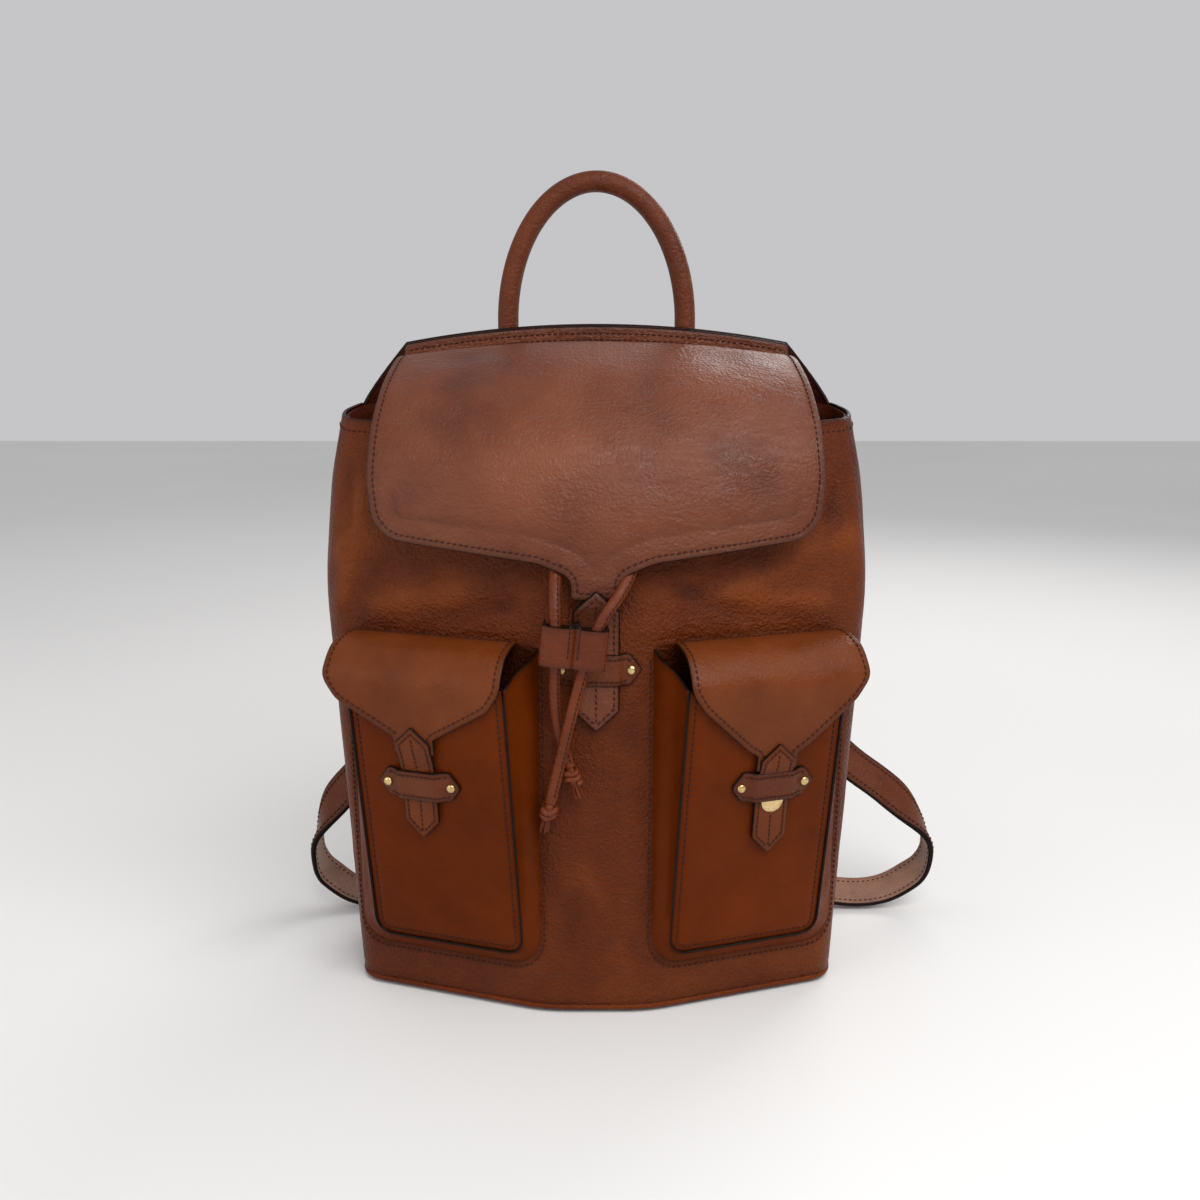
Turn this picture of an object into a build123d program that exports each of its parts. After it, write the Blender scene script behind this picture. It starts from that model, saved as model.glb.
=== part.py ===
from build123d import *
import os
from math import atan2, cos, pi, radians, sin, sqrt, tan

# Leather drawstring backpack, standing on its base, in millimetres.
# The front faces -Y, +X is on the right as the front is looked at, and Z is up.
# The origin is the middle of the base, on the floor.

os.makedirs("parts", exist_ok=True)

# ---------------------------------------------------------------- driving dimensions

# Bag body, in plan
base_half_width = 140.0
waist_half_width = 154.0
shoulder_half_width = 149.0
rim_half_width = 140.0
front_y = -62.0
front_rim_y = -44.0
back_y = 62.0
front_flat_half = 28.0
pocket_face_angle = 19.0
front_corner_step = 6.0
side_bulge_y = 14.0
back_corner_step = 8.0
corner_radii = (14.0, 17.0, 36.0, 25.0)

# Bag body, heights
wall_bottom_z = 4.6
waist_low_z = 216.0
waist_z = 236.0
shoulder_z = 290.0
rim_top_z = 335.0
back_edge_z = 371.5
rim_back_height = 329.0
rim_front_height = 316.0
back_top_y = 39.3
back_rim_y = 47.3
back_shoulder_y = 55.2
back_sheet_low_z = 320.0
back_sheet_low_y = 49.9
back_sheet_low_half_width = 126.0
seam_front_y = -4.0
seam_back_y = 36.0

# Sheet thicknesses and gaps
leather = 2.0
facing_leather = 1.4
pocket_back_sheet = 1.4
lining_sheet = 1.0
clear = 0.3
board_thickness = 2.4
base_leather = 2.2
piping_proud = 0.8
piping_width = 5.8

# Mouth
facing_bottom_z = 284.0
eyelet_z = 298.0
eyelet_x = (20.0, 62.0, 110.0)
eyelet_hole_radius = 3.2
eyelet_barrel_radius = 4.0
eyelet_flange_radius = 6.0
eyelet_flange = 1.0

# Top band and main flap
root_half_width = 108.5
root_arch = 10.0
band_height = 20.0
band_leather = 3.0
band_step_down = 1.6
flap_axis_y = 33.0
flap_axis_z = 361.0
flap_root_lift = 0.9
flap_root_back = 2.2
flap_leather = 1.6
flap_lining_sheet = 0.8
flap_half_width = 113.0
flap_wrap = 25.0
flap_corner_z = 264.0
flap_corner_radius = 17.0
flap_edge_z = 254.5
flap_shoulder_x = 27.0
flap_shoulder_z = 253.0
neck_half_width = 12.5
neck_end_z = 233.5
neck_front_y = -70.2
tongue_width = 23.0
tongue_leather = 3.0
tongue_top_z = 238.0
tongue_tip_z = 163.0
tongue_point = 12.0
tongue_standoff = 1.2
tongue_sweep = ((3.4, 223.0), (0.8, 213.0), (0.0, 206.0))

# Keepers and rivets
keeper_length = 47.0
keeper_height = 16.0
keeper_point = 6.0
keeper_leather = 1.8
keeper_rise = 0.8
keeper_shoulder = 0.6
keeper_z = 195.5
rivet_pitch = 32.8
rivet_head_radius = 2.3
rivet_head_height = 1.2
rivet_shank_radius = 1.2
rivet_washer_radius = 3.0
rivet_washer = 0.7

# Pockets, across (u) and out from (n) the slanting pocket face
pocket_middle_x = 85.5
window_inner_u = -57.0
window_outer_u = 49.0
window_bottom_z = 28.0
window_top_z = 206.0
window_radius = 14.0
panel_inner_u = -50.0
panel_outer_u = 37.0
panel_bottom_z = 35.0
pocket_mouth_z = 188.0
pocket_depth = 28.0
pocket_lean = 8.5
gusset_leather = 1.6
pocket_seam_margin = 6.0
pocket_flap_axis_z = 209.0
pocket_flap_leather = 1.4
pocket_flap_lining = 0.6
pocket_flap_half_width = 51.0
pocket_flap_corner_z = 178.0
pocket_flap_neck_z = 163.0
pocket_neck_half_width = 11.0
pocket_neck_end_z = 157.0
pocket_tongue_width = 19.0
pocket_tongue_leather = 1.7
pocket_tongue_top_z = 167.0
pocket_tongue_tip_z = 102.0
pocket_tongue_reach = {"left": 0.0, "right": 9.0}
pocket_keeper_z = 133.0
snap_z = 132.5
snap_radius = 6.5
snap_dome = 1.6
snap_post_radius = 5.0
snap_post_height = 1.0
snap_shank_radius = 2.0

# Drawstring
cord_diameter = 5.0
cord_standoff = 5.2
loop_side_gap = 16.0
loop_back_gap = 17.0
loop_corner_step = 22.0
loop_turn_radius = 14.0
cord_turn_radius = 3.6
knot_radius = 5.5
knot_flat = 4.6
tassel_length = 13.0
tassel_radii = (3.4, 2.4)
right_end_route = [
    (20.0, -59.6, 286.0),
    (20.0, -62.0, 264.0),
    (19.4, -62.9, 250.0),
    (13.0, -74.6, 238.0),
    (3.3, -79.6, 226.5),
    (-3.4, -79.7, 209.0),
    (-10.5, -77.4, 184.0),
    (-17.5, -74.6, 154.0),
    (-24.2, -70.2, 124.5),
]
left_end_route = [
    (-20.0, -59.6, 286.0),
    (-20.0, -62.0, 264.0),
    (-20.6, -63.4, 250.5),
    (-20.9, -73.4, 239.0),
    (-20.5, -79.3, 226.5),
    (-20.2, -79.7, 209.0),
    (-21.6, -73.6, 184.0),
    (-19.4, -67.2, 161.0),
    (-13.6, -68.6, 143.5),
]

# Slider on the drawstring
slider_x = -11.0
slider_y = -79.5
slider_z = 214.5
slider_width = 34.0
slider_height = 20.5
slider_depth = 10.4
slider_channel_width = 13.2
slider_channel_depth = 7.4
slider_channel_pitch = 17.0
slider_tilt = 6.0
slider_rounding = 2.4

# Carrying handle
handle_y = 49.0
handle_pivot_z = 373.0
handle_apex_z = 450.6
handle_half_span = 51.0
handle_radius = 6.0
handle_core_radius = 4.4
handle_points = 9
root_tab_width = 24.0
root_tab_leather = 3.0
root_tab_low_z = 306.0
root_tab_high_z = 358.0

# Shoulder straps, lying in a plane behind the back
strap_width = 21.0
strap_leather = 3.4
strap_gap = 3.4
anchor_half_width = 30.0
anchor_low_z = 328.0
anchor_thickness = 8.0
anchor_front_y = 20.0
ring_wire = 2.4
ring_clear = 0.35
strap_routes = {
    "left": [
        (-16.0, 328.0), (-16.0, 296.0), (-78.0, 214.0), (-112.0, 156.0), (-142.0, 102.0),
        (-176.0, 66.0), (-186.0, 34.0), (-163.0, 4.0), (-132.0, 4.0), (-116.0, 18.0),
    ],
    "right": [
        (16.0, 328.0), (16.0, 296.0), (78.0, 214.0), (114.0, 158.0), (150.0, 106.0),
        (196.0, 74.0), (222.0, 40.0), (196.0, 5.0), (150.0, 3.0), (118.0, 16.0),
    ],
}
strap_split = 2
strap_foot_half = 9.0


def rises(z, table):
    """The value at a height, along straight pieces between (height, value) pairs."""
    for (low, a), (high, b) in zip(table, table[1:]):
        if z <= high:
            return a + (b - a) * (z - low) / (high - low)
    return table[-1][1]


half_width_at = [
    (0.0, base_half_width),
    (waist_z, waist_half_width),
    (shoulder_z, shoulder_half_width),
    (rim_top_z, rim_half_width),
]
front_at = [(0.0, front_y), (waist_low_z, front_y), (rim_top_z, front_rim_y)]
back_at = [
    (0.0, back_y),
    (shoulder_z, back_shoulder_y),
    (rim_top_z, back_rim_y),
    (back_edge_z, back_top_y),
]
slant = tan(radians(pocket_face_angle))


def outline(z, inset):
    """The bag's closed plan outline at a height, moved in by inset."""
    half = rises(z, half_width_at)
    front = rises(z, front_at)
    back = rises(z, back_at)
    corner = half - front_corner_step
    right = [
        (front_flat_half, front),
        (corner, front + (corner - front_flat_half) * slant),
        (half, side_bulge_y),
        (half - back_corner_step, back),
    ]
    left = [(-x, y) for x, y in reversed(right)]
    radii = list(corner_radii) + list(reversed(corner_radii))
    face = make_face(FilletPolyline(*right, *left, radius=radii, close=True))
    if inset:
        face = offset(face, amount=-inset, kind=Kind.INTERSECTION)
    return Pos(0, 0, z) * face


def body_solid(inset, bottom):
    """The bag's volume, moved in by inset, from a height up to above the rim."""
    heights = [bottom] + [z for z in (waist_low_z, waist_z, shoulder_z, rim_top_z) if z > bottom]
    return loft([outline(z, inset).faces()[0] for z in heights], ruled=True)


def slab(x0, x1, y0, y1, z0, z1):
    """A box between two corners."""
    middle = ((x0 + x1) / 2, (y0 + y1) / 2, (z0 + z1) / 2)
    return Pos(*middle) * Box(x1 - x0, y1 - y0, z1 - z0)


far = 400.0


def strip(points, start, end):
    """A closed outline between two offsets to the left of an open run of points."""
    def moved(amount):
        out = []
        for i, (a, b) in enumerate(points):
            before = points[max(i - 1, 0)]
            after = points[min(i + 1, len(points) - 1)]
            run, rise = after[0] - before[0], after[1] - before[1]
            size = sqrt(run * run + rise * rise)
            out.append((a - rise / size * amount, b + run / size * amount))
        return out
    return moved(start), moved(end)


def strip_face(points, start, end):
    """The face between two offsets of a run of points."""
    near, away = strip(points, start, end)
    return make_face(Polyline(*near, *reversed(away), close=True))


def curved_strip_face(points, start, end):
    """The face between two offsets of a smooth curve through points."""
    near, away = strip(points, start, end)
    edges = [
        Spline(*near),
        Line(near[-1], away[-1]),
        Spline(*reversed(away)),
        Line(away[0], near[0]),
    ]
    return make_face(edges)


def across(face, half):
    """A (y, z) face pulled out to both sides of the YZ plane."""
    return extrude(Plane.YZ * face, amount=half, both=True)


def seen_from_front(face):
    """An (x, z) face pulled through everything along Y."""
    return extrude(Plane.XZ * face, amount=far, both=True)


def pocket_frame(side):
    """Plane whose X runs outwards across a pocket face, Y is up and Z points out of the bag."""
    sign = 1 if side == "right" else -1
    turn = radians(pocket_face_angle)
    y = front_y + (pocket_middle_x - front_flat_half) * slant
    return Plane(
        origin=(sign * pocket_middle_x, y, 0),
        x_dir=(cos(turn), sign * sin(turn), 0),
        z_dir=(sign * sin(turn), -cos(turn), 0),
    )


def route_radii(points):
    """The widest arc that the two runs at each inner point allow."""
    radii = []
    for a, b, c in zip(points, points[1:], points[2:]):
        back, on = Vector(*b) - Vector(*a), Vector(*c) - Vector(*b)
        half_turn = radians(back.get_angle(on)) / 2
        radii.append(0.45 * min(back.length, on.length) / tan(half_turn))
    return radii


def tube(points, radii, radius):
    """A round tube along straight runs joined by arcs."""
    path = FilletPolyline(*points, radius=radii)
    section = Plane(origin=path @ 0, z_dir=path % 0) * Circle(radius)
    solid = sweep(section, path=path)
    return solid, path


def save(name, shape):
    """Writes a sub-part and keeps it for the later ones."""
    shape.label = name
    export_step(shape, f"parts/{name}.step")
    return shape


# ---------------------------------------------------------------- bag body

def rim_plane():
    """The slanting plane of the mouth's rim."""
    fall = atan2(rim_back_height - rim_front_height, back_rim_y - front_rim_y)
    return Plane(origin=(0, back_rim_y, rim_back_height), z_dir=(0, -sin(fall), cos(fall)))


def below_rim(shape):
    return split(shape, bisect_by=rim_plane(), keep=Keep.BOTTOM)


def arch(x):
    """How far the top edge falls at a distance from the middle."""
    return root_arch * (x / root_half_width) ** 2


def under_arch(top, half, half_low, low):
    """Front-view outline under the arched top edge."""
    side = top - arch(half)
    edges = [
        ThreePointArc((half, side), (0, top), (-half, side)),
        Line((-half, side), (-half_low, low)),
        Line((-half_low, low), (half_low, low)),
        Line((half_low, low), (half, side)),
    ]
    return seen_from_front(make_face(edges))


outer = body_solid(0, wall_bottom_z)
skin_inner = body_solid(leather, wall_bottom_z)
shell = below_rim(outer - skin_inner)

base_panel = extrude(outline(0, piping_width - piping_proud), amount=base_leather)
ring = outline(base_leather, -piping_proud) - outline(base_leather, piping_width - piping_proud)
base_piping = extrude(ring, amount=wall_bottom_z - base_leather)
board_face = outline(base_leather, piping_width - piping_proud + clear)
base_board = extrude(board_face, amount=board_thickness)
save("base_panel", base_panel)
save("base_piping", base_piping)
save("base_board", base_board)

back_edge = [(back_sheet_low_y, back_sheet_low_z), (back_rim_y, rim_top_z), (back_top_y, back_edge_z)]
back_edge_faces = [(y - leather, z) for y, z in reversed(back_edge)]
back_sheet = across(make_face(Polyline(*back_edge, *back_edge_faces, close=True)), far / 2)
back_sheet &= under_arch(back_edge_z, root_half_width, back_sheet_low_half_width, back_sheet_low_z)
back_panel = (shell & slab(-far, far, seam_back_y, far, 0, far)) + back_sheet
save("back_panel", back_panel)

for side, sign in (("left", -1), ("right", 1)):
    low_x, high_x = sorted((0, sign * far))
    panel = shell & slab(low_x, high_x, seam_front_y, seam_back_y, 0, far)
    save(f"side_panel_{side}", panel)


def eyelet_plane(x):
    """Plane on the outer face of the mouth at an eyelet, Z pointing out of the bag."""
    slope = (front_rim_y - front_y) / (rim_top_z - waist_low_z)
    sign = 1 if x > 0 else -1
    lean = slant * sign if abs(x) > front_flat_half else 0.0
    y = rises(eyelet_z, front_at) + max(abs(x) - front_flat_half, 0) * slant
    return Plane(origin=(x, y, eyelet_z), z_dir=(lean, -1, slope))


eyelet_planes = [eyelet_plane(sign * x) for x in eyelet_x for sign in (-1, 1)]
wall = leather + facing_leather
eyelet_holes = [
    plane * Pos(0, 0, -wall / 2) * Cylinder(eyelet_barrel_radius, wall + 2)
    for plane in eyelet_planes
]
barrel = Pos(0, 0, -wall / 2) * Cylinder(eyelet_barrel_radius, wall)
front_flange = Pos(0, 0, eyelet_flange / 2) * Cylinder(eyelet_flange_radius, eyelet_flange)
rear_flange = Pos(0, 0, -wall - 0.4) * Cylinder(eyelet_flange_radius - 0.6, 0.8)
eyelet = barrel + front_flange + rear_flange - Cylinder(eyelet_hole_radius, 3 * wall + 6)
save("drawstring_eyelets", Compound([plane * eyelet for plane in eyelet_planes]))

facing = below_rim(skin_inner - body_solid(wall, wall_bottom_z) - back_sheet)
facing &= slab(-far, far, -far, far, facing_bottom_z, far)
for hole in eyelet_holes:
    facing -= hole
save("mouth_facing", facing)

lining_inset = leather + pocket_back_sheet + clear
lining_bottom = base_leather + board_thickness + clear
lining_outer = body_solid(lining_inset, lining_bottom)
lining_inner = body_solid(lining_inset + lining_sheet, lining_bottom + lining_sheet)
lining = lining_outer - lining_inner
lining = lining & slab(-far, far, -far, far, 0, facing_bottom_z - clear)
save("main_lining", lining)


# ---------------------------------------------------------------- pockets

def window_face(inner, outer_u, low, high, radius, sign):
    """A pocket outline with rounded lower corners; u runs outwards on the given side."""
    points = [(inner, high), (inner, low), (outer_u, low), (outer_u, high)]
    line = FilletPolyline(*points, radius=[radius, radius])
    edges = line.edges() + [Line((outer_u, high), (inner, high))]
    face = make_face(edges)
    return face if sign > 0 else mirror(face, about=Plane.YZ)


def leaned():
    """Turns a pocket's front about its mouth, so that the pocket is shallow at the bottom."""
    high, out = pocket_mouth_z, pocket_depth + leather
    return Pos(0, high, out) * Rot(pocket_lean, 0, 0) * Pos(0, -high, -out)


def leaned_point(n, z):
    """The same turn for one point of a profile."""
    dz, dn = z - pocket_mouth_z, n - pocket_depth - leather
    turn = radians(pocket_lean)
    return (pocket_depth + leather + dz * sin(turn) + dn * cos(turn),
            pocket_mouth_z + dz * cos(turn) - dn * sin(turn))


def rivet(pad):
    """A dome rivet through a keeper's end and the sheet behind it; Z = 0 is the sheet's face."""
    head = Sphere(rivet_head_radius) & Pos(0, 0, 5) * Box(10, 10, 10)
    head = scale(head, by=(1, 1, rivet_head_height / rivet_head_radius))
    shank = Pos(0, 0, (keeper_leather - pad) / 2) * Cylinder(
        rivet_shank_radius, keeper_leather + pad
    )
    washer = Pos(0, 0, -pad - rivet_washer / 2) * Cylinder(rivet_washer_radius, rivet_washer)
    return Pos(0, 0, keeper_leather) * head + shank + washer


def keeper(inner_half, lift):
    """A pointed strap across a tongue, bowed out by lift; local Z is out and Y is up."""
    foot = inner_half + keeper_rise
    end = keeper_length / 2
    under = [
        (-end, 0), (-foot, 0), (-inner_half, lift),
        (inner_half, lift), (foot, 0), (end, 0),
    ]
    over = [(x, n + keeper_leather) for x, n in reversed(under)]
    over[1] = (foot + keeper_shoulder, keeper_leather)
    over[-2] = (-foot - keeper_shoulder, keeper_leather)
    bow = extrude(Plane.XZ * make_face(Polyline(*under, *over, close=True)),
                  amount=keeper_height, both=True)
    half = keeper_height / 2
    side = end - keeper_point
    shape = Polyline((-end, 0), (-side, -half), (side, -half), (end, 0), (side, half),
                     (-side, half), close=True)
    strap = bow & extrude(make_face(shape), amount=30, both=True)
    for x in (-rivet_pitch / 2, rivet_pitch / 2):
        strap -= Pos(x, 0, 0) * Cylinder(rivet_shank_radius, 10)
    return strap


def snap_cap():
    """The brass cap in a pocket tongue; Z = 0 is the tongue's face."""
    ball = (snap_radius**2 + snap_dome**2) / (2 * snap_dome)
    dome = Pos(0, 0, snap_dome - ball) * Sphere(ball)
    dome &= Pos(0, 0, 5) * Box(40, 40, 10)
    shank = Pos(0, 0, -pocket_tongue_leather / 2) * Cylinder(
        snap_shank_radius, pocket_tongue_leather
    )
    return dome + shank


def flap_outline():
    """Front-view outline of a pocket flap; u runs outwards."""
    half, neck = pocket_flap_half_width, pocket_neck_half_width
    corner, low = pocket_flap_corner_z, pocket_flap_neck_z
    points = [
        (-half + 4, pocket_flap_axis_z + 20), (-half, corner + 12),
        (-half + 9, corner), (-neck - 5, low + 2), (-neck, low - 1),
    ]
    return points + [(-x, z) for x, z in reversed(points)]


front_panel = shell & slab(-far, far, -far, seam_front_y, 0, far)
for hole in eyelet_holes:
    front_panel -= hole

rivets = []
posts = []
for side, sign in (("left", -1), ("right", 1)):
    frame = pocket_frame(side)
    front_frame = frame * leaned()
    reach = pocket_tongue_reach[side]
    window = window_face(
        window_inner_u, window_outer_u, window_bottom_z, window_top_z, window_radius, sign
    )
    front_panel -= frame * extrude(window, amount=3 * leather, both=True)
    margin = pocket_seam_margin
    back_face = window_face(
        window_inner_u - margin, window_outer_u + margin, window_bottom_z - margin,
        window_top_z + margin, window_radius + margin, sign,
    )
    back_sheet_n = -leather - pocket_back_sheet
    pocket_back = frame * Pos(0, 0, back_sheet_n) * extrude(back_face, amount=pocket_back_sheet)
    pocket_back &= skin_inner
    save(f"pocket_back_{side}", pocket_back)

    panel_face = window_face(
        panel_inner_u, panel_outer_u, panel_bottom_z, window_top_z, window_radius, sign
    )
    sheet = gusset_leather
    wide_in = window_face(
        window_inner_u + sheet, window_outer_u - sheet, window_bottom_z + sheet,
        window_top_z, window_radius - sheet, sign,
    )
    narrow_in = window_face(
        panel_inner_u + sheet, panel_outer_u - sheet, panel_bottom_z + sheet,
        window_top_z, window_radius - sheet, sign,
    )
    to_front = leaned() * Pos(0, 0, pocket_depth)
    wide = loft([Pos(0, 0, -leather) * window, to_front * panel_face], ruled=True)
    hollow = loft([Pos(0, 0, -leather) * wide_in, to_front * narrow_in], ruled=True)
    low_part = Pos(0, pocket_mouth_z - far / 2, 0) * Box(far, far, far / 2)
    gusset = (wide - hollow) & low_part
    save(f"pocket_gusset_{side}", frame * gusset)

    front = Pos(0, 0, pocket_depth) * extrude(panel_face, amount=leather) & low_part
    face_n = pocket_depth + leather
    holes = [
        Pos(sign_x * rivet_pitch / 2, pocket_keeper_z, face_n) * Cylinder(rivet_shank_radius, 8)
        for sign_x in (-1, 1)
    ]
    for hole in holes:
        front -= hole
    post_at = Pos(0, snap_z - reach, face_n)
    save(f"pocket_front_{side}", front_frame * front)
    posts.append(front_frame * post_at * Pos(0, 0, snap_post_height / 2)
                 * Cylinder(snap_post_radius, snap_post_height))

    tongue_n = face_n + snap_post_height + clear
    strap_lift = snap_post_height + clear + pocket_tongue_leather + snap_dome + clear
    strap = keeper(pocket_tongue_width / 2 + 1.2, strap_lift)
    save(f"pocket_keeper_{side}", front_frame * Pos(0, pocket_keeper_z, face_n) * strap)
    for sign_x in (-1, 1):
        spot = Pos(sign_x * rivet_pitch / 2, pocket_keeper_z, face_n)
        rivets.append(front_frame * spot * rivet(leather))

    # The flap falls from the bag's face over the pocket, then its tongue runs down the front.
    neck_end = pocket_neck_end_z - reach
    top_n = face_n + 4.0
    fall = [
        (1.2, pocket_flap_axis_z + 1.4),
        (13.0, pocket_flap_axis_z + 0.6),
        (25.0, pocket_flap_axis_z - 4.5),
        (top_n - 0.4, pocket_flap_axis_z - 16.0),
        leaned_point(top_n + 0.4, pocket_flap_axis_z - 30.0),
        leaned_point(top_n, neck_end),
    ]
    edge = flap_outline()
    drop = [(u, z - (reach if abs(u) < 20 else 0)) for u, z in edge]
    half_n = pocket_neck_half_width
    middle = len(drop) // 2
    run = drop[:middle] + [(-half_n, neck_end), (half_n, neck_end)] + drop[middle:]
    flap_shape = leaned() * extrude(make_face(Polyline(*run, close=True)), amount=120, both=True)
    layers = (
        ("flap", 0.0, pocket_flap_leather),
        ("flap_lining", pocket_flap_leather, pocket_flap_leather + pocket_flap_lining),
    )
    for layer, start, end in layers:
        profile = strip_face(fall, -start, -end)
        sheet_solid = extrude(Plane.ZY * profile, amount=80, both=True)
        save(f"pocket_{layer}_{side}", frame * (sheet_solid & flap_shape))

    tip = pocket_tongue_tip_z - reach
    top = pocket_tongue_top_z - reach
    down = [
        (top_n + pocket_tongue_leather + 0.2, top + 2),
        (top_n + pocket_tongue_leather + 0.2, neck_end - 1),
        (tongue_n + pocket_tongue_leather + 0.9, neck_end - 7.0),
        (tongue_n + pocket_tongue_leather, neck_end - 13.0),
        (tongue_n + pocket_tongue_leather, tip),
    ]
    band = extrude(Plane.ZY * strip_face(down, 0, -pocket_tongue_leather), amount=80, both=True)
    wide_half = pocket_tongue_width / 2
    shape = Polyline(
        (0, top), (-wide_half, top - 8), (-wide_half, tip + 10), (0, tip),
        (wide_half, tip + 10), (wide_half, top - 8), close=True,
    )
    tongue = band & extrude(make_face(shape), amount=120)
    face_place = Pos(0, snap_z - reach, tongue_n + pocket_tongue_leather)
    tongue -= face_place * Cylinder(snap_shank_radius, 12)
    save(f"pocket_tongue_{side}", front_frame * tongue)
    save(f"pocket_snap_cap_{side}", front_frame * face_place * snap_cap())

save("pocket_snap_posts", Compound(posts))


# ---------------------------------------------------------------- top band, main flap, centre keeper

def band_inner_y(z):
    """The band's back face: the front face of the back panel's upper edge."""
    return rises(z, back_at) - leather


band_top_z = back_edge_z - band_step_down
band_low_z = band_top_z - band_height
band_points = [
    (band_inner_y(band_low_z), band_low_z),
    (band_inner_y(band_top_z), band_top_z),
    (band_inner_y(band_top_z) - band_leather, band_top_z),
    (band_inner_y(band_low_z) - band_leather, band_low_z),
]
band = across(make_face(Polyline(*band_points, close=True)), far / 2)
band &= under_arch(band_top_z, root_half_width, root_half_width + 3, band_low_z - 20)
save("top_band", band)

flap_fall = [
    (flap_axis_y + flap_root_back, flap_axis_z + flap_root_lift),
    (10.0, 359.5),
    (-25.0, 342.5),
    (-54.0, 315.0),
    (-67.5, 285.0),
    (-70.6, 255.0),
    (neck_front_y, neck_end_z - 2),
]
flap_stations = [step / 5 - 1 for step in range(11)]


def flap_section(share, start, end):
    """The flap's cut at a share of its half width: lower at the root and wrapped at the edge."""
    fall = []
    for i, (y, z) in enumerate(flap_fall):
        down = i / (len(flap_fall) - 1)
        fall.append((
            y + flap_wrap * share**2 * min(1, 1.25 * down) ** 1.5,
            z - root_arch * share**2 * (1 - down),
        ))
    face = curved_strip_face(fall, start, end)
    plane = Plane(origin=(share * (flap_half_width + 6), 0, 0), x_dir=(0, 1, 0), z_dir=(1, 0, 0))
    return (plane * face).faces()[0]


flap_right = [
    (neck_half_width, neck_end_z), (neck_half_width, flap_shoulder_z),
    (flap_shoulder_x, flap_edge_z), (flap_half_width, flap_corner_z),
    (root_half_width, flap_axis_z + 20),
]
flap_left = [(-x, z) for x, z in reversed(flap_right)]
flap_turns = [9.0, 30.0, flap_corner_radius, 0.0, 0.0, flap_corner_radius, 30.0, 9.0]
flap_line = FilletPolyline(*flap_right, *flap_left, radius=flap_turns)
flap_bottom = Line((-neck_half_width, neck_end_z), (neck_half_width, neck_end_z))
flap_cut = seen_from_front(make_face(flap_line.edges() + [flap_bottom]))
for name, start, end in (
    ("main_flap", 0.0, flap_leather),
    ("main_flap_lining", flap_leather, flap_leather + flap_lining_sheet),
):
    sheet_solid = loft([flap_section(share, start, end) for share in flap_stations], ruled=True)
    save(name, sheet_solid & flap_cut)

tongue_front_y = front_y - tongue_standoff - tongue_leather
tongue_fall = [
    (neck_front_y - tongue_leather - 0.3, tongue_top_z + 1),
    (neck_front_y - tongue_leather - 0.3, neck_end_z - 1.0),
    *((tongue_front_y - out, z) for out, z in tongue_sweep),
    (tongue_front_y, tongue_tip_z - 1),
]
half = tongue_width / 2
tongue_shape = Polyline(
    (0, tongue_top_z), (-half, tongue_top_z - tongue_point),
    (-half, tongue_tip_z + tongue_point), (0, tongue_tip_z),
    (half, tongue_tip_z + tongue_point), (half, tongue_top_z - tongue_point), close=True,
)
tongue_band = across(strip_face(tongue_fall, 0, tongue_leather), far / 2)
save("main_flap_tongue", tongue_band & seen_from_front(make_face(tongue_shape)))

keeper_place = Plane(origin=(0, front_y, keeper_z), x_dir=(1, 0, 0), z_dir=(0, -1, 0))
centre_lift = tongue_standoff + tongue_leather + clear
save("centre_keeper", keeper_place * keeper(half + 1.0, centre_lift))
for x in (-rivet_pitch / 2, rivet_pitch / 2):
    front_panel -= keeper_place * Pos(x, 0, 0) * Cylinder(rivet_shank_radius, 8)
    rivets.append(keeper_place * Pos(x, 0, 0) * rivet(leather))
save("front_panel", front_panel)
save("keeper_rivets", Compound(rivets))


# ---------------------------------------------------------------- drawstring and slider

def cord_radius():
    return cord_diameter / 2


def place_of(plane, n):
    """A point at a distance out along an eyelet's axis."""
    return tuple(plane.origin + plane.z_dir * n)


inward = -(wall + cord_standoff)
near_side = {}
for sign in (-1, 1):
    planes = [eyelet_plane(sign * x) for x in eyelet_x]
    near_side[sign] = [
        place_of(planes[0], 0.0),
        place_of(planes[0], inward),
        place_of(planes[1], inward),
        place_of(planes[1], cord_standoff),
        place_of(planes[2], cord_standoff),
        place_of(planes[2], inward),
    ]
inside_side = rim_half_width - loop_side_gap
inside_back = back_shoulder_y - loop_back_gap
round_back = [
    (-inside_side, 18.0, eyelet_z), (-inside_side + loop_corner_step, inside_back, eyelet_z),
    (-40.0, inside_back + 2.0, eyelet_z), (40.0, inside_back + 1.0, eyelet_z),
    (inside_side - loop_corner_step, inside_back, eyelet_z), (inside_side, 18.0, eyelet_z),
]
loop_route = near_side[-1] + round_back + list(reversed(near_side[1]))
loop_radii = [min(r, loop_turn_radius) for r in route_radii(loop_route)]
loop_radii = [min(r, cord_turn_radius) if i < 5 or i > len(loop_radii) - 6 else r
              for i, r in enumerate(loop_radii)]
loop, loop_path = tube(loop_route, loop_radii, cord_radius())
save("drawstring_loop", loop)

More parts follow.
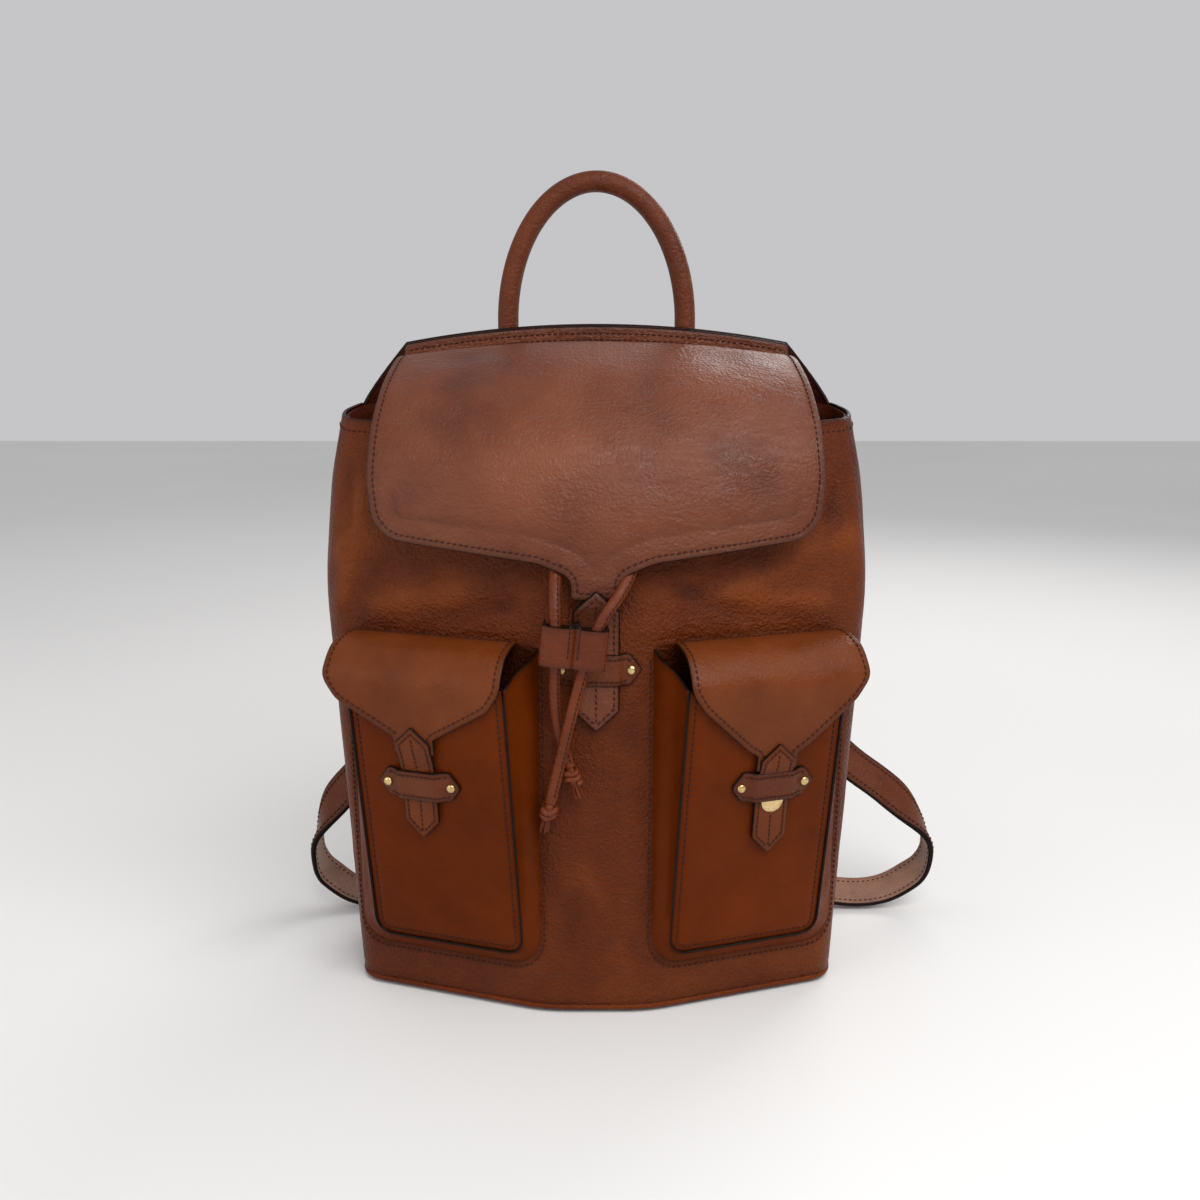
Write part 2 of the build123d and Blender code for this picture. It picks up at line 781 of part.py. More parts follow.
for side, sign, route in (("left", -1, left_end_route), ("right", 1, right_end_route)):
    plane = eyelet_plane(sign * eyelet_x[0])
    full = [place_of(plane, 0.0), place_of(plane, cord_standoff)] + route
    radii = route_radii(full)
    end_cord, path = tube(full, radii, cord_radius())
    save(f"drawstring_end_{side}", end_cord)
    expected = pi * cord_radius() ** 2 * path.length
    print(side, "cord", round(path.length, 1), "mm, radii", [round(r, 1) for r in radii],
          "volume share", round(end_cord.volume / expected, 4))
    along = path % 1
    centre = path @ 1 + along * knot_flat
    knot = Sphere(knot_radius) & Pos(0, 0, -knot_radius + knot_flat) * Box(20, 20, 2 * knot_radius)
    tassel = Pos(0, 0, -knot_flat - tassel_length / 2 + 1) * Cone(*tassel_radii, tassel_length)
    save(f"cord_knot_{side}", Plane(origin=centre, z_dir=-along) * (knot + tassel))
print("loop", round(loop_path.length, 1), "volume share",
      round(loop.volume / (pi * cord_radius() ** 2 * loop_path.length), 4))

slider = Box(slider_width, slider_depth, slider_height)
slider = fillet(slider.edges().filter_by(Axis.Z), slider_rounding)
for x in (-slider_channel_pitch / 2, slider_channel_pitch / 2):
    slider -= Pos(x, 0, 0) * Box(slider_channel_width, slider_channel_depth, 2 * slider_height)
save("cord_slider", Pos(slider_x, slider_y, slider_z) * Rot(0, slider_tilt, 0) * slider)


# ---------------------------------------------------------------- carrying handle

handle_rise = handle_apex_z - handle_pivot_z
handle_route = []
for step in range(handle_points):
    turn = pi * step / (handle_points - 1)
    handle_route.append((
        -handle_half_span * cos(turn), handle_y, handle_pivot_z + handle_rise * sin(turn)
    ))
handle_turns = route_radii(handle_route)
rolled, handle_path = tube(handle_route, handle_turns, handle_radius)
core, core_path = tube(handle_route, handle_turns, handle_core_radius)
for sign in (-1, 1):
    rolled += Pos(sign * handle_half_span, handle_y, handle_pivot_z) * Sphere(handle_radius)
save("handle_core", core)
save("handle_cover", rolled - core)

for side, sign in (("left", -1), ("right", 1)):
    low_y, high_y = rises(root_tab_low_z, back_at), rises(root_tab_high_z, back_at)
    mid = (rim_top_z, rises(rim_top_z, back_at))
    points = [
        (low_y, root_tab_low_z), (mid[1], mid[0]), (high_y, root_tab_high_z),
        (high_y + root_tab_leather, root_tab_high_z), (mid[1] + root_tab_leather, mid[0]),
        (low_y + root_tab_leather, root_tab_low_z),
    ]
    tab = across(make_face(Polyline(*points, close=True)), root_tab_width / 2)
    stub_top = handle_pivot_z - handle_radius - clear
    stub_low = root_tab_high_z - 5
    stub = Pos(0, handle_y, (stub_top + stub_low) / 2) * Cylinder(
        handle_radius, stub_top - stub_low
    )
    behind = slab(-root_tab_width, root_tab_width, rises(stub_low, back_at) + 0.1, far, 0, far)
    save(f"handle_root_{side}", Pos(sign * handle_half_span, 0, 0) * (tab + (stub & behind)))


# ---------------------------------------------------------------- shoulder straps

strap_front_y = back_y + strap_gap
strap_middle_y = strap_front_y + strap_width / 2
anchor = slab(-anchor_half_width, anchor_half_width, 0, strap_front_y + strap_width,
              anchor_low_z, anchor_low_z + anchor_thickness)
anchor -= body_solid(0, wall_bottom_z) + back_sheet
anchor &= slab(-far, far, anchor_front_y, far, 0, far)
save("strap_anchor", anchor)


def strap_solid(points, low, high):
    """A band of the strap's width: the route's line thickened to one side from low to high."""
    radii = route_radii([(x, 0, z) for x, z in points])
    line = FilletPolyline(*points, radius=radii)
    middle = (low + high) / 2
    section = Plane(
        origin=Vector(*points[0]), x_dir=(line % 0).cross(Vector(0, 0, 1)), z_dir=line % 0
    ) * Pos(middle, 0, 0) * Rectangle(high - low, strap_width)
    flat = sweep(section, path=line)
    return Plane(origin=(0, strap_middle_y, 0), x_dir=(1, 0, 0), z_dir=(0, -1, 0)) * flat


for side, route in strap_routes.items():
    before, after = Vector(*route[strap_split]), Vector(*route[strap_split + 1])
    joint = (before + after) * 0.5
    cut = tuple(joint)[:2]
    low, high = -strap_leather / 2, strap_leather / 2
    save(f"shoulder_strap_{side}", strap_solid(route[:strap_split + 1] + [cut], low, high))
    save(f"lower_strap_{side}", strap_solid([cut] + route[strap_split + 1:], low, high))
    gap = 2 * ring_clear
    opening = Box(strap_leather + gap, strap_width + gap, 30)
    frame_box = Box(
        strap_leather + gap + 2 * ring_wire, strap_width + gap + 2 * ring_wire, ring_wire
    )
    place = Plane(
        origin=(joint.X, strap_middle_y, joint.Y),
        x_dir=Vector(before.Y - after.Y, 0, after.X - before.X),
        z_dir=Vector(after.X - before.X, 0, after.Y - before.Y),
    )
    save(f"strap_ring_{side}", place * (frame_box - opening))
    x, z = route[-1]
    save(f"strap_foot_{side}", slab(
        x - strap_foot_half, x + strap_foot_half, back_y, strap_front_y,
        z - strap_foot_half, z + strap_foot_half,
    ))
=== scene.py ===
# %% [markdown]
# # A leather drawstring backpack
# The frame holds the model: its bodies, hinges and boxes. Everything below is laid over that frame
# in metres, so nothing has to be fitted afterwards.

# %% Load the frame
import bpy
import numpy as np
from math import cos, pi, radians, sin, sqrt, tan
from mathutils import Matrix, Vector, noise
from mathutils.geometry import delaunay_2d_cdt


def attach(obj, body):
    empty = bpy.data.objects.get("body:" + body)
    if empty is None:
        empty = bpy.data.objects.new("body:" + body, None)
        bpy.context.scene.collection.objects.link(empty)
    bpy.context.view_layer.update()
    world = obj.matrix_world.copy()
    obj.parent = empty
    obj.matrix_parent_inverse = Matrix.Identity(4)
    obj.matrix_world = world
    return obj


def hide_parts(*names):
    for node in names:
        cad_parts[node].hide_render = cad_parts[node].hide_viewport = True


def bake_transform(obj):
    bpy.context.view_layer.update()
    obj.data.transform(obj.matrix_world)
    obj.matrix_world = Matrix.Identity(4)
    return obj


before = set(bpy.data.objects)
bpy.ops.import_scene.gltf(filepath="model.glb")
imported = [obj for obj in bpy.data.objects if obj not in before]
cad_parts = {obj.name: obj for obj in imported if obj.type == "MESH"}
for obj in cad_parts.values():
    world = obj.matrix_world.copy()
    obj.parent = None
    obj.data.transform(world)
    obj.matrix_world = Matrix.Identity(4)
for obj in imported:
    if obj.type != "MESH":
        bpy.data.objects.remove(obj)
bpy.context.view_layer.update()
mm = 0.001

# %% [markdown]
# ## Camera and light
# The bag is looked at from about seventy centimetres, a little below its handle's height, so the camera
# tips down and the verticals draw together slightly. A big soft lamp above and a paler one at the side
# give leather its broad, slow highlights; a window-sized lamp is kinder to grain than a small one.

# %% Camera
camera_data = bpy.data.cameras.new("camera")
camera_data.lens = 37.5
camera_data.sensor_width = 36
camera = bpy.data.objects.new("camera", camera_data)
camera.location = (0.002, -0.690, 0.3617)
camera.rotation_euler = (radians(90 - 11.66), 0, 0)
bpy.context.scene.collection.objects.link(camera)
bpy.context.scene.camera = camera


# %% Lamps, world and floor
def soft_lamp(name, place, look_at, size, power):
    data = bpy.data.lights.new(name, "AREA")
    data.shape = "RECTANGLE"
    data.size, data.size_y = size
    data.energy = power
    lamp = bpy.data.objects.new(name, data)
    lamp.location = place
    lamp.rotation_euler = (Vector(look_at) - Vector(place)).to_track_quat("-Z", "Y").to_euler()
    bpy.context.scene.collection.objects.link(lamp)


middle = (0, 0, 0.22)
soft_lamp("overhead", (0.45, -0.80, 1.15), middle, (1.1, 0.8), 15)
soft_lamp("side_window", (-1.25, -0.9, 0.65), middle, (0.9, 1.2), 5)
soft_lamp("back_rim", (0.7, 1.1, 1.1), middle, (0.9, 0.7), 7)

bpy.context.scene.view_settings.view_transform = "Standard"
world = bpy.data.worlds.new("room")
world.use_nodes = True
world.node_tree.nodes["Background"].inputs["Color"].default_value = (0.97, 0.97, 1.0, 1)
world.node_tree.nodes["Background"].inputs["Strength"].default_value = 0.58
bpy.context.scene.world = world

floor_mesh = bpy.data.meshes.new("floor")
floor_half = 4.0
floor_mesh.from_pydata(
    [(x, y, 0) for x, y in ((-1, -1), (1, -1), (1, 1), (-1, 1))], [], [(0, 1, 2, 3)]
)
floor = bpy.data.objects.new("floor", floor_mesh)
floor.scale = (floor_half, floor_half, 1)
floor.location.z = -0.0004
bpy.context.scene.collection.objects.link(floor)

# %% [markdown]
# ## Writing materials as sums
# Node trees are easier to read as expressions. `Tone` wraps one output socket, so `1 - mask * 0.5` adds its
# own Math nodes. `Finish` makes every other kind of node from one method: its type, its settings, its inputs.


# %% Shader helpers
class Tone:
    """A shader value that takes part in sums."""

    def __init__(self, finish, socket):
        self.finish, self.socket = finish, socket

    def sum_with(self, operation, first, second):
        return self.finish.node("ShaderNodeMath", {"operation": operation}, {0: first, 1: second})

    def __add__(self, other):
        return self.sum_with("ADD", self, other)

    def __radd__(self, other):
        return self.sum_with("ADD", other, self)

    def __sub__(self, other):
        return self.sum_with("SUBTRACT", self, other)

    def __rsub__(self, other):
        return self.sum_with("SUBTRACT", other, self)

    def __mul__(self, other):
        return self.sum_with("MULTIPLY", self, other)

    def __rmul__(self, other):
        return self.sum_with("MULTIPLY", other, self)

    def __pow__(self, other):
        return self.sum_with("POWER", self, other)


class Finish:
    """A material under construction."""

    def __init__(self, name, **constants):
        self.material = bpy.data.materials.new(name)
        self.material.use_nodes = True
        self.tree = self.material.node_tree
        self.shader = self.tree.nodes["Principled BSDF"]
        for socket, value in constants.items():
            self.shader.inputs[socket.replace("_", " ")].default_value = value

    def node(self, kind, settings=None, inputs=None, output=0):
        made = self.tree.nodes.new(kind)
        for key, value in (settings or {}).items():
            if key == "stops":
                for element, (place, colour) in zip(made.color_ramp.elements, (value[0], value[-1])):
                    element.position, element.color = place, (*colour, 1)
                for place, colour in value[1:-1]:
                    made.color_ramp.elements.new(place).color = (*colour, 1)
            else:
                setattr(made, key, value)
        for key, value in (inputs or {}).items():
            self.feed(made.inputs[key], value)
        return Tone(self, made.outputs[output])

    def feed(self, socket, value):
        if isinstance(value, Tone):
            self.tree.links.new(value.socket, socket)
        else:
            socket.default_value = value

    def place(self):
        return self.node("ShaderNodeTexCoord", output="Object")

    def stretched(self, scale):
        return self.node("ShaderNodeMapping", None, {"Vector": self.place(), "Scale": scale})

    def cloud(self, scale, detail=3.0, rough=0.55, warp=0.0, at=None):
        return self.node("ShaderNodeTexNoise", None, {
            "Vector": at or self.place(), "Scale": scale, "Detail": detail, "Roughness": rough,
            "Distortion": warp,
        })

    def cells(self, scale, feature="F1", at=None):
        return self.node("ShaderNodeTexVoronoi", {"feature": feature}, {
            "Vector": at or self.place(), "Scale": scale,
        })

    def spread(self, value, low, high, to_low=0.0, to_high=1.0):
        return self.node("ShaderNodeMapRange", {"interpolation_type": "SMOOTHSTEP"}, {
            "Value": value, "From Min": low, "From Max": high, "To Min": to_low, "To Max": to_high,
        })

    def ramp(self, value, stops):
        return self.node("ShaderNodeValToRGB", {"stops": stops}, {"Fac": value})

    def blend(self, share, first, second):
        made = self.tree.nodes.new("ShaderNodeMix")
        made.data_type = "RGBA"
        self.feed(made.inputs["Factor"], share)
        for key, value in (("A", first), ("B", second)):
            socket = [s for s in made.inputs if s.name == key and s.type == "RGBA"][0]
            self.feed(socket, (*value, 1) if isinstance(value, tuple) else value)
        return Tone(self, [s for s in made.outputs if s.type == "RGBA"][0])

    def written(self, name):
        return self.node("ShaderNodeAttribute", {"attribute_name": name}, output="Fac")

    def bump(self, height, distance, strength=1.0):
        lift = self.node("ShaderNodeBump", None, {
            "Height": height, "Distance": distance, "Strength": strength,
        })
        self.feed(self.shader.inputs["Normal"], lift)

    def colour(self, value):
        self.feed(self.shader.inputs["Base Color"], value)

    def roughness(self, value):
        self.feed(self.shader.inputs["Roughness"], value)


# %% [markdown]
# ## Leather
# Vegetable-tanned leather is not one colour. The dye pools in broad clouds and raised folds pull it paler.
# Near cut edges and seams it darkens, partly real burnish and partly painted shade; crease hollows get
# painted shade. Each sheet below writes two numbers on its points: `edge`, the nearness of a cut edge, and
# `fold`, how far it is creased. The finish mixes them in.


# %% Leather finishes
def leather(name, deep, usual, pale, grain=1.0, sheen=0.42, coat=0.03, wrinkle=1.0, gloss=0.15):
    made = Finish(name, Coat_Weight=coat, Coat_Roughness=0.34, Specular_IOR_Level=gloss)
    clouds = made.cloud(11, 4, 0.6, 0.6)
    patches = made.cloud(47, 3, 0.6)
    pores = made.cells(1150, at=made.stretched((1, 1, 0.8)))
    pebble = made.cells(620, "SMOOTH_F1")
    fine = made.cloud(1700, 2, 0.6)
    lines = made.cloud(150, 5, 0.66, 1.4, made.stretched((0.5, 1, 1.2)))
    edge = made.written("edge")
    fold = made.written("fold")
    tone = clouds * 0.62 + patches * 0.26 + fine * 0.12
    body = made.ramp(tone, [(0.32, deep), (0.5, usual), (0.72, pale)])
    # A dark tone: near cut edges it stands for part real burnish, part painted shade; in hollows, painted shade.
    burnish_and_shade = tuple(c * 0.42 for c in deep)
    shaded = made.blend(edge ** 2.2 * 0.62, body, burnish_and_shade)
    pulled = made.blend(made.spread(fold, 0.5, 1.0, 0, 0.5), shaded, tuple(min(1, c * 1.35) for c in pale))
    # Hollows of the relief (fold under 0.5) are painted darker: painted shade in creases.
    made.colour(made.blend(made.spread(fold, 0.5, 0.0, 0, 0.75), pulled, burnish_and_shade))
    made.roughness(made.spread(patches + lines * 0.4, 0.45, 0.95, sheen - 0.07, sheen + 0.13))
    height = pebble * (0.55 * grain) + pores * (0.22 * grain) + fine * 0.1
    made.bump(height + lines * (1.2 * wrinkle), 0.0008, 0.85)
    return made.material


body_leather = leather("body_leather", (0.066, 0.0100, 0.0008), (0.114, 0.0190, 0.0014),
                       (0.160, 0.032, 0.0034), 1.5, 0.34, 0.02, 1.2, 0.09)
centre_leather = leather("grained_leather", (0.060, 0.0095, 0.0009), (0.100, 0.0172, 0.0016),
                         (0.148, 0.033, 0.0045), 2.2, 0.33, 0.02, 1.5, 0.12)
pocket_leather = leather("pocket_leather", (0.074, 0.0120, 0.0006), (0.104, 0.0162, 0.0007),
                         (0.132, 0.024, 0.0016), 0.6, 0.36, 0.01, 0.45, 0.05)
flap_leather = leather("flap_leather", (0.084, 0.0175, 0.0045), (0.124, 0.0290, 0.0090),
                       (0.160, 0.046, 0.018), 1.2, 0.33, 0.04, 1.2, 0.26)
pocket_flap_leather = leather("pocket_flap_leather", (0.088, 0.0175, 0.0024), (0.128, 0.0270, 0.0042),
                              (0.162, 0.040, 0.009), 0.8, 0.36, 0.02, 0.7, 0.14)
strap_leather = leather("strap_leather", (0.070, 0.0140, 0.0034), (0.104, 0.0222, 0.0056),
                        (0.140, 0.036, 0.011), 0.9, 0.34, 0.03, 1.1, 0.16)
mouth_leather = leather("mouth_leather", (0.030, 0.0048, 0.0014), (0.060, 0.0088, 0.0024),
                        (0.088, 0.015, 0.005), 1.0, 0.5, 0.02, 1.0, 0.1)
lace_leather = leather("lace_leather", (0.076, 0.0125, 0.0020), (0.128, 0.0225, 0.0040),
                       (0.186, 0.042, 0.009), 0.8, 0.30, 0.04, 1.1, 0.20)


# %% Edge paint, thread, suede, lining and brass
def edge_paint():
    made = Finish("edge_paint", Specular_IOR_Level=0.1)
    cloud = made.cloud(220, 4, 0.6)
    made.colour(made.ramp(cloud, [(0.35, (0.0040, 0.0016, 0.0012)), (0.7, (0.0130, 0.0050, 0.0036))]))
    made.roughness(made.spread(cloud, 0.3, 0.8, 0.34, 0.5))
    made.bump(made.cloud(900, 3), 0.0003, 0.4)
    return made.material


def thread():
    made = Finish("thread", Specular_IOR_Level=0.2)
    at = made.stretched((1, 1, 1))
    twist = made.node("ShaderNodeTexWave", {"bands_direction": "DIAGONAL"}, {
        "Vector": at, "Scale": 900.0, "Distortion": 0.6,
    })
    made.colour(made.ramp(twist, [(0.2, (0.016, 0.0030, 0.0016)), (0.8, (0.070, 0.0155, 0.0075))]))
    made.roughness(made.spread(twist, 0, 1, 0.52, 0.7))
    made.bump(twist, 0.0002, 0.6)
    return made.material


def suede():
    made = Finish("flesh_side", Sheen_Weight=0.35, Sheen_Roughness=0.6)
    nap = made.cloud(1300, 4, 0.7)
    cloud = made.cloud(60, 4, 0.6, 0.8)
    tone = nap * 0.45 + cloud * 0.55
    made.colour(made.ramp(tone, [(0.34, (0.15, 0.055, 0.026)), (0.68, (0.30, 0.13, 0.066))]))
    made.roughness(made.spread(nap, 0, 1, 0.82, 0.95))
    made.bump(nap + cloud * 0.5, 0.0006, 0.6)
    return made.material


def lining_cloth():
    made = Finish("olive_lining", Sheen_Weight=0.25)
    rows = made.node("ShaderNodeTexWave", {"bands_direction": "Z"}, {
        "Vector": made.place(), "Scale": 420.0, "Distortion": 0.5,
    })
    runs = made.node("ShaderNodeTexWave", {"bands_direction": "X"}, {
        "Vector": made.place(), "Scale": 420.0, "Distortion": 0.5,
    })
    weave = rows * runs
    cloud = made.cloud(30, 4)
    made.colour(made.ramp(weave * 0.5 + cloud * 0.5, [
        (0.1, (0.075, 0.060, 0.020)), (0.7, (0.20, 0.165, 0.062)),
    ]))
    made.roughness(made.spread(cloud, 0, 1, 0.78, 0.92))
    made.bump(weave + cloud * 0.4, 0.0004, 0.7)
    return made.material


def pale_brass():
    made = Finish("pale_brass", Metallic=1.0)
    cloud = made.cloud(260, 4, 0.6)
    scuffs = made.cloud(900, 3, 0.6, 1.0, made.stretched((1, 1, 0.2)))
    made.colour(made.ramp(cloud, [(0.3, (0.50, 0.33, 0.13)), (0.7, (0.78, 0.60, 0.31))]))
    made.roughness(made.spread(scuffs, 0.3, 0.75, 0.2, 0.4))
    made.bump(scuffs, 0.0002, 0.25)
    return made.material


def floor_paint():
    made = Finish("pale_floor")
    cloud = made.cloud(3, 3)
    made.colour(made.ramp(cloud, [(0.3, (0.74, 0.73, 0.71)), (0.7, (0.80, 0.79, 0.77))]))
    made.roughness(made.spread(cloud, 0, 1, 0.7, 0.85))
    return made.material


painted_edge, stitching, flesh_side = edge_paint(), thread(), suede()
lining_material, brass = lining_cloth(), pale_brass()
floor.data.materials.append(floor_paint())
print("finishes:", len(bpy.data.materials))

# %% [markdown]
# ## Sheets of leather
# A bag is cut from flat sheets, so we build it the same way. A sheet has a flat outline, and a `place`
# function that carries flat points to their place in the room. The outline is filled with an even spread
# of triangles, carried over, given a back and a rounded, painted edge. Holes are just more outlines.


# %% Flat outlines
def walk(points, step, closed=True):
    """The same line with points evenly spaced, keeping its corners."""
    points = np.asarray(points, float)
    ends = np.vstack([points[1:], points[:1]]) if closed else points[1:]
    out = []
    for a, b in zip(points, ends):
        count = max(1, int(round(np.linalg.norm(b - a) / step)))
        out.extend(a + (b - a) * k / count for k in range(count))
    if not closed:
        out.append(points[-1])
    return np.array(out)


def rounded(points, radii, closed=True):
    """A run of points whose corners are turned by arcs."""
    points = [Vector(p) for p in points]
    out = []
    for i, p in enumerate(points):
        radius = radii[i] if isinstance(radii, (list, tuple)) else radii
        if radius == 0 or (not closed and i in (0, len(points) - 1)):
            out.append(tuple(p))
            continue
        before, after = points[i - 1], points[(i + 1) % len(points)]
        a, b = (before - p).normalized(), (after - p).normalized()
        half = a.angle(b) / 2
        if half > pi / 2 - 0.02:
            out.append(tuple(p))
            continue
        reach = min(radius / tan(half), 0.48 * (before - p).length, 0.48 * (after - p).length)
        size = reach * tan(half)
        centre = p + (a + b).normalized() * (size / sin(half))
        start, end = p + a * reach - centre, p + b * reach - centre
        turn = start.angle_signed(end)
        for k in range(7):
            spin = Matrix.Rotation(-turn * k / 6, 2)
            out.append(tuple(centre + spin @ start))
    return np.array(out)


def shrunk(outline, inset):
    """A closed line moved inwards (for a line that runs anticlockwise)."""
    before, after = np.roll(outline, 1, 0), np.roll(outline, -1, 0)
    run = after - before
    run /= np.maximum(np.linalg.norm(run, axis=1), 1e-9)[:, None]
    return outline + np.stack([-run[:, 1], run[:, 0]], 1) * inset


def anticlockwise(outline):
    x, y = outline[:, 0], outline[:, 1]
    area = np.sum(x * np.roll(y, -1) - y * np.roll(x, -1))
    return outline if area > 0 else outline[::-1]


def within(points, outline):
    inside = np.zeros(len(points), bool)
    for a, b in zip(outline, np.roll(outline, -1, 0)):
        crosses = (a[1] > points[:, 1]) != (b[1] > points[:, 1])
        rise = b[1] - a[1] if b[1] != a[1] else 1e-12
        inside ^= crosses & (points[:, 0] < (b[0] - a[0]) * (points[:, 1] - a[1]) / rise + a[0])
    return inside


def distance_to(points, outlines):
    best = np.full(len(points), 9.0)
    for outline in outlines:
        for a, b in zip(outline, np.roll(outline, -1, 0)):
            run = b - a
            share = np.clip(((points - a) @ run) / max(run @ run, 1e-15), 0, 1)
            best = np.minimum(best, np.linalg.norm(points - a - share[:, None] * run, axis=1))
    return best


def filled(outline, holes, step, insets=()):
    """Even triangles over an outline with holes, with rings of points at the insets asked for."""
    loops = [outline] + list(holes)
    rings = []
    for inset in insets:
        for loop, way in zip(loops, [1] + [-1] * len(holes)):
            ring = shrunk(loop, way * inset)
            ring = ring[distance_to(ring, loops) > 0.93 * inset]
            rings.append(ring[within(ring, outline)])
    rings = np.vstack(rings) if rings else np.zeros((0, 2))
    low, high = outline.min(0), outline.max(0)
    rows = np.arange(low[1] + step * 0.4, high[1], step * 0.86)
    grid = []
    for number, v in enumerate(rows):
        u = np.arange(low[0] + (number % 2) * step / 2, high[0], step)
        grid.append(np.stack([u, np.full(len(u), v)], 1))
    grid = np.vstack(grid)
    keep = within(grid, outline)
    for hole in holes:
        keep &= ~within(grid, hole)
    grid = grid[keep]
    clear = max([step * 0.5] + [inset + step * 0.4 for inset in insets])
    grid = np.vstack([rings, grid[distance_to(grid, loops) > clear]])
    points, edges = [], []
    for loop in loops:
        first = len(points)
        points.extend(loop)
        edges.extend((first + k, first + (k + 1) % len(loop)) for k in range(len(loop)))
    scale = 1 / mm
    coords = [Vector(p) * scale for p in points] + [Vector(p) * scale for p in grid]
    made = delaunay_2d_cdt(coords, edges, [], 2, 1e-4)
    flat = np.array([tuple(v) for v in made[0]]) / scale
    faces = [tuple(f) for f in made[2]]
    facing_up = []
    for f in faces:
        a, b, c = flat[list(f[:3])]
        area = (b[0] - a[0]) * (c[1] - a[1]) - (b[1] - a[1]) * (c[0] - a[0])
        facing_up.append(f if area > 0 else f[::-1])
    return flat, facing_up


# %% Sheets in the room
def facing_of(place, flat, side):
    """Unit normals of a placed surface, on the side asked for."""
    small = 0.2 * mm
    across = place(flat[:, 0] + small, flat[:, 1]) - place(flat[:, 0] - small, flat[:, 1])
    along = place(flat[:, 0], flat[:, 1] + small) - place(flat[:, 0], flat[:, 1] - small)
    normal = np.cross(across, along)
    return side * normal / np.maximum(np.linalg.norm(normal, axis=1), 1e-12)[:, None]


def sheet(name, outline, place, thick, step, front, back=None, rim=None, holes=(), side=1,
          groove=(), burnish_and_shade_reach=9 * mm, relief=None, round_edge=0.55):
    """A sheet with its outer face on `place`, its back one thickness in, and a rounded edge."""
    outline = anticlockwise(np.asarray(outline, float))
    holes = [anticlockwise(np.asarray(h, float)) for h in holes]
    insets = [0.9 * mm]
    for inset, _ in groove:
        insets += [inset - 1.1 * mm, inset, inset + 1.1 * mm]
    flat, faces = filled(outline, holes, step, insets)
    gap = distance_to(flat, [outline, *holes])
    normal = facing_of(place, flat, side)
    lift = -0.16 * thick * np.clip(1 - gap / (1.1 * mm), 0, 1)
    for inset, depth in groove:
        lift -= depth * np.exp(-((gap - inset) / (0.8 * mm)) ** 2)
    fold = np.full(len(flat), 0.5)
    if relief is not None:
        raised = relief(flat, np.clip((gap - 5.5 * mm) / (14 * mm), 0, 1))
        lift += raised
        # fold above 0.5 (raised) turns the leather paler; below 0.5 (hollows) it gets painted shade.
        fold = np.clip(0.5 + raised / (4.2 * mm), 0, 1)
    surface = place(flat[:, 0], flat[:, 1])
    top = surface + normal * lift[:, None]
    bottom = top - normal * thick
    count = len(flat)
    if side < 0:
        faces = [f[::-1] for f in faces]
    used = {}
    for f in faces:
        for a, b in zip(f, f[1:] + f[:1]):
            used[(a, b)] = True
    border = [(a, b) for a, b in used if (b, a) not in used]
    follows = dict(border)
    outward = np.zeros((count, 3))
    for a, b in border:
        run = top[b] - top[a]
        across = np.cross(run, normal[a])
        size = max(np.linalg.norm(across), 1e-12)
        outward[a] += across / size
        outward[b] += across / size
    size = np.maximum(np.linalg.norm(outward, axis=1), 1e-12)[:, None]
    outward = outward / size
    verts = [*top, *bottom]
    rows = [{a: a for a in follows}]
    bends = (-40, 0, 40) if thick > 1.2 * mm else (0,)
    for bend in bends:
        row = {}
        for a in follows:
            row[a] = len(verts)
            half = thick / 2
            swell = outward[a] * (half * round_edge * cos(radians(bend)))
            verts.append((top[a] + bottom[a]) / 2 + swell - normal[a] * (half * sin(radians(bend))))
        rows.append(row)
    rows.append({a: a + count for a in follows})
    all_faces = [(f, 0) for f in faces] + [(tuple(k + count for k in f[::-1]), 1) for f in faces]
    for upper, lower in zip(rows, rows[1:]):
        for a, b in border:
            all_faces.append(((upper[b], upper[a], lower[a], lower[b]), 2))
    mesh = bpy.data.meshes.new(name)
    mesh.from_pydata([tuple(v) for v in verts], [], [f for f, _ in all_faces])
    for material in (front, back or front, rim or painted_edge):
        mesh.materials.append(material)
    mesh.polygons.foreach_set("material_index", [m for _, m in all_faces])
    mesh.polygons.foreach_set("use_smooth", [True] * len(all_faces))
    extra = len(verts) - 2 * count
    # Nearness of a cut edge, where the finish darkens: partly real burnish, partly painted shade.
    near = np.clip(1 - gap / burnish_and_shade_reach, 0, 1)
    for key, value in (("edge", near), ("fold", fold)):
        written = mesh.attributes.new(key, "FLOAT", "POINT")
        written.data.foreach_set("value", np.concatenate([value, value, np.full(extra, 0.5)]))
    mesh.validate()
    mesh.update()
    obj = bpy.data.objects.new(name, mesh)
    bpy.context.scene.collection.objects.link(obj)
    return obj


def behind(place, side, depth):
    """The same placing, one depth further in."""
    def inner(u, v):
        flat = np.stack([u, v], 1)
        return place(u, v) - facing_of(place, flat, side) * depth
    return inner


def inset_lines(outline, inset, keep=None):
    """The runs of a line inside an outline, for stitching."""
    outline = anticlockwise(np.asarray(outline, float))
    line = shrunk(outline, inset)
    good = distance_to(line, [outline]) > 0.93 * abs(inset)
    if keep is not None:
        good &= np.array([bool(keep(u, v)) for u, v in line])
    if good.all():
        return [np.vstack([line, line[:1]])]
    start = next(k for k in range(len(line)) if good[k] and not good[k - 1])
    line, good = np.roll(line, -start, 0), np.roll(good, -start)
    runs, run = [], []
    for point, fine in zip(line, good):
        if fine:
            run.append(point)
        elif run:
            runs.append(np.array(run))
            run = []
    if run:
        runs.append(np.array(run))
    joined = []
    for run in runs:
        if joined and np.linalg.norm(run[0] - joined[-1][-1]) < 6 * mm:
            joined[-1] = np.vstack([joined[-1], run])
        else:
            joined.append(run)
    return [run for run in joined if len(run) > 2]


